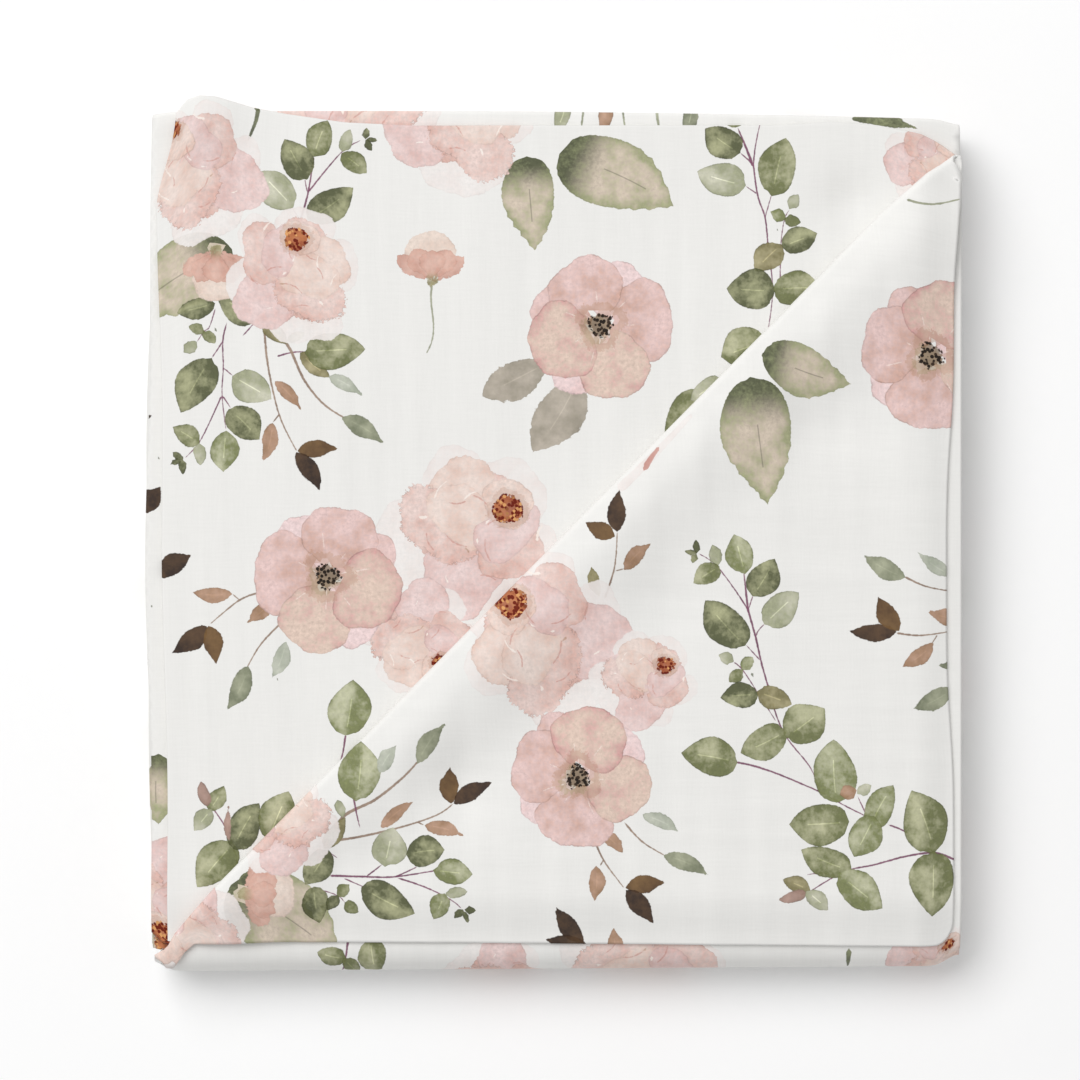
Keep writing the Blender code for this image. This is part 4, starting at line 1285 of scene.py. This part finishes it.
cover = add(wash, "ShaderNodeMapRange", {0: edge, 1: -0.16, 2: 0.18, 3: 0.0, 4: given["strength"]},
            interpolation_type="SMOOTHSTEP")[0]
only_flecks = add(wash, "ShaderNodeMix", {0: given["flecked"], 2: 1.0, 3: given["fleck"]},
                  data_type="FLOAT")[0]
cover = add(wash, "ShaderNodeMath", {0: cover, 1: only_flecks}, operation="MULTIPLY")[0]
share = add(wash, "ShaderNodeMath", {0: given["second_share"], 1: given["mottle"]}, operation="ADD",
            use_clamp=True)[0]
share = add(wash, "ShaderNodeMix", {0: given["flecked"], 2: share, 3: given["fleck_tone"]},
            data_type="FLOAT")[0]
tint = add(wash, "ShaderNodeMix", {0: share, 6: given["first"], 7: given["second"]},
           data_type="RGBA")[2]
dried = add(wash, "ShaderNodeMapRange", {0: edge, 1: 0.0, 2: 0.65, 3: 1.0, 4: 0.0},
            interpolation_type="SMOOTHSTEP")[0]
dried = add(wash, "ShaderNodeMath", {0: dried, 1: rim}, operation="MULTIPLY")[0]
dried = add(wash, "ShaderNodeMath", {0: dried, 1: given["patch"]}, operation="MULTIPLY")[0]
line = add(wash, "ShaderNodeMath", {0: aside}, operation="ABSOLUTE")[0]
line = add(wash, "ShaderNodeMapRange", {0: line, 1: 0.06, 2: 0.36, 3: 1.0, 4: 0.0},
           interpolation_type="SMOOTHSTEP")[0]
inside = add(wash, "ShaderNodeMapRange", {0: edge, 1: 0.6, 2: 2.2, 3: 0.0, 4: 1.0})[0]
line = add(wash, "ShaderNodeMath", {0: line, 1: inside}, operation="MULTIPLY")[0]
way = add(wash, "ShaderNodeMath", {0: vein, 1: 2.0, 2: -1.0}, operation="MULTIPLY_ADD")[0]
gathered = add(wash, "ShaderNodeMapRange", {0: rim, 1: 0.1, 2: 0.5, 3: 0.15, 4: 1.0})[0]
gathered = add(wash, "ShaderNodeMath", {0: gathered, 1: given["grain"]}, operation="MULTIPLY")[0]
line = add(wash, "ShaderNodeMath", {0: line, 1: way, 2: gathered}, operation="MULTIPLY_ADD")[0]
lighter = add(wash, "ShaderNodeMath", {0: dried, 1: -0.55, 2: line}, operation="MULTIPLY_ADD")[0]
lighter = add(wash, "ShaderNodeMath", {0: 2.1, 1: lighter}, operation="POWER")[0]
tint = add(wash, "ShaderNodeVectorMath", {0: tint, 3: lighter}, operation="SCALE")[0]
mixed = add(wash, "ShaderNodeMix", {0: cover, 6: given["under"], 7: tint}, data_type="RGBA")[2]
add(wash, "NodeGroupOutput", {0: mixed})

# Two noises make the washes' edges uneven, their colours mingle and their pigment gather.
tree = muslin.node_tree
cloth_mm = add(tree, "ShaderNodeUVMap", {}, uv_map="cloth_mm")[0]
fine = add(tree, "ShaderNodeTexNoise", {"Vector": cloth_mm, "Scale": 0.7, "Detail": 3.0,
                                        "Roughness": 0.65})[0]
broad = add(tree, "ShaderNodeTexNoise", {"Vector": cloth_mm, "Scale": 0.13, "Detail": 3.0,
                                         "Roughness": 0.6})[0]
ragged = add(tree, "ShaderNodeMath", {0: fine, 1: 4.0 * RAGGED_SCALE, 2: -2.0 * RAGGED_SCALE},
             operation="MULTIPLY_ADD")[0]
grain = add(tree, "ShaderNodeMath", {0: fine, 1: 1.1, 2: -0.55}, operation="MULTIPLY_ADD")[0]
mottle = add(tree, "ShaderNodeMath", {0: broad, 1: 3.0, 2: -1.5}, operation="MULTIPLY_ADD")[0]
mottle = add(tree, "ShaderNodeMath", {0: grain, 1: 1.4, 2: mottle}, operation="MULTIPLY_ADD")[0]
patch = add(tree, "ShaderNodeMapRange", {0: broad, 1: 0.4, 2: 0.58, 3: 0.35, 4: 1.25})[0]
dots = add(tree, "ShaderNodeTexVoronoi", {"Vector": cloth_mm, "Scale": 0.8}, feature="F1")
fleck = add(tree, "ShaderNodeMapRange", {0: dots["Distance"], 1: 0.62, 2: 0.48, 3: 0.0, 4: 1.0},
            interpolation_type="SMOOTHSTEP")[0]
dot_tone = add(tree, "ShaderNodeSeparateColor", {0: dots["Color"]})[0]
fleck_tone = add(tree, "ShaderNodeMapRange", {0: dot_tone, 1: 0.6, 2: 0.8})[0]

# The weave is drawn about three times as coarse as real muslin's, so that it shows at all.
threads = []
for scale in ((1.5, 0.1, 1.0), (0.12, 1.7, 1.0)):
    stretched = add(tree, "ShaderNodeVectorMath", {0: cloth_mm, 1: scale}, operation="MULTIPLY")[0]
    threads.append(add(tree, "ShaderNodeTexNoise", {"Vector": stretched, "Scale": 0.8,
                                                    "Detail": 2.0})[0])
weave = add(tree, "ShaderNodeMath", {0: threads[0], 1: threads[1]}, operation="ADD")[0]
slub_at = add(tree, "ShaderNodeVectorMath", {0: cloth_mm, 1: (0.16, 0.008, 1.0)},
              operation="MULTIPLY")[0]
slub = add(tree, "ShaderNodeTexNoise", {"Vector": slub_at, "Scale": 1.0, "Detail": 2.0})[0]
shade = add(tree, "ShaderNodeMath", {0: weave, 1: 0.05, 2: 0.95}, operation="MULTIPLY_ADD")[0]
slub = add(tree, "ShaderNodeMath", {0: slub, 1: 0.07, 2: -0.035}, operation="MULTIPLY_ADD")[0]
shade = add(tree, "ShaderNodeMath", {0: shade, 1: slub}, operation="ADD")[0]

painted = (*linear(WHITE), 1.0)
for level in range(DEPTH):
    form_at, manner_at, first_at, second_at = (
        add(tree, "ShaderNodeAttribute", {}, attribute_name=f"{name}_{level}") for name in FIELDS
    )
    painted = add(tree, "ShaderNodeGroup", {
        "under": painted, "form": form_at["Color"],
        "manner": manner_at["Color"], "second_share": manner_at["Alpha"],
        "first": first_at["Color"], "strength": first_at["Alpha"],
        "second": second_at["Color"], "flecked": second_at["Alpha"], "ragged": ragged,
        "mottle": mottle, "patch": patch, "grain": grain, "fleck": fleck, "fleck_tone": fleck_tone,
    }, node_tree=wash)[0]
colour = add(tree, "ShaderNodeVectorMath", {0: painted, 3: shade}, operation="SCALE")[0]
bump = add(tree, "ShaderNodeBump", {"Height": weave, "Strength": 0.12, "Distance": 0.0004})[0]
cotton = add(tree, "ShaderNodeBsdfPrincipled", {
    "Base Color": colour, "Roughness": 0.85, "Normal": bump, "Sheen Weight": 0.15,
    "Sheen Roughness": 0.4, "IOR": 1.45, "Specular IOR Level": 0.25,
})[0]
add(tree, "ShaderNodeOutputMaterial", {"Surface": cotton})
cloth_mesh.materials.append(muslin)

# The sheet gets its thickness about its middle surface.
thick = cloth.modifiers.new("cloth_thickness", "SOLIDIFY")
thick.thickness = SHEET
thick.offset = 0.0

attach(cloth, "root")
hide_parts("swaddle_blanket")

# ---------------------------------------------------------------------------------------------
# The blanket lies on a seamless white table, lit by one large soft light from the upper left and
# by the pale room round it.
# ---------------------------------------------------------------------------------------------
TABLE_HALF = 4.0
LIGHT_SIZE = 2.6
LIGHT_FROM = (-1.35, 1.6, 3.0)
LIGHT_POWER = 89.0
ROOM_LIGHT = 0.51

table_mesh = bpy.data.meshes.new("white_table")
table_mesh.from_pydata(
    [(-TABLE_HALF, -TABLE_HALF, 0), (TABLE_HALF, -TABLE_HALF, 0), (TABLE_HALF, TABLE_HALF, 0),
     (-TABLE_HALF, TABLE_HALF, 0)], [], [(0, 1, 2, 3)])
table = bpy.data.objects.new("white_table", table_mesh)
bpy.context.scene.collection.objects.link(table)
white = bpy.data.materials.new("white_card")
white.use_nodes = True
white.node_tree.nodes.clear()
card = add(white.node_tree, "ShaderNodeBsdfPrincipled", {
    "Base Color": (*linear("#ffffff"), 1.0), "Roughness": 0.9, "Specular IOR Level": 0.0,
})[0]
add(white.node_tree, "ShaderNodeOutputMaterial", {"Surface": card})
table_mesh.materials.append(white)

softbox = bpy.data.lights.new("soft_light", "AREA")
softbox.shape = "SQUARE"
softbox.size = LIGHT_SIZE
softbox.energy = LIGHT_POWER
softbox_object = bpy.data.objects.new("soft_light", softbox)
softbox_object.location = LIGHT_FROM
softbox_object.rotation_euler = Vector(LIGHT_FROM).to_track_quat("Z", "Y").to_euler()
bpy.context.scene.collection.objects.link(softbox_object)

room = bpy.data.worlds.new("pale_room")
bpy.context.scene.world = room
room.use_nodes = True
room.node_tree.nodes["Background"].inputs["Color"].default_value = (1.0, 1.0, 1.0, 1.0)
room.node_tree.nodes["Background"].inputs["Strength"].default_value = ROOM_LIGHT
bpy.context.scene.view_settings.view_transform = "Standard"
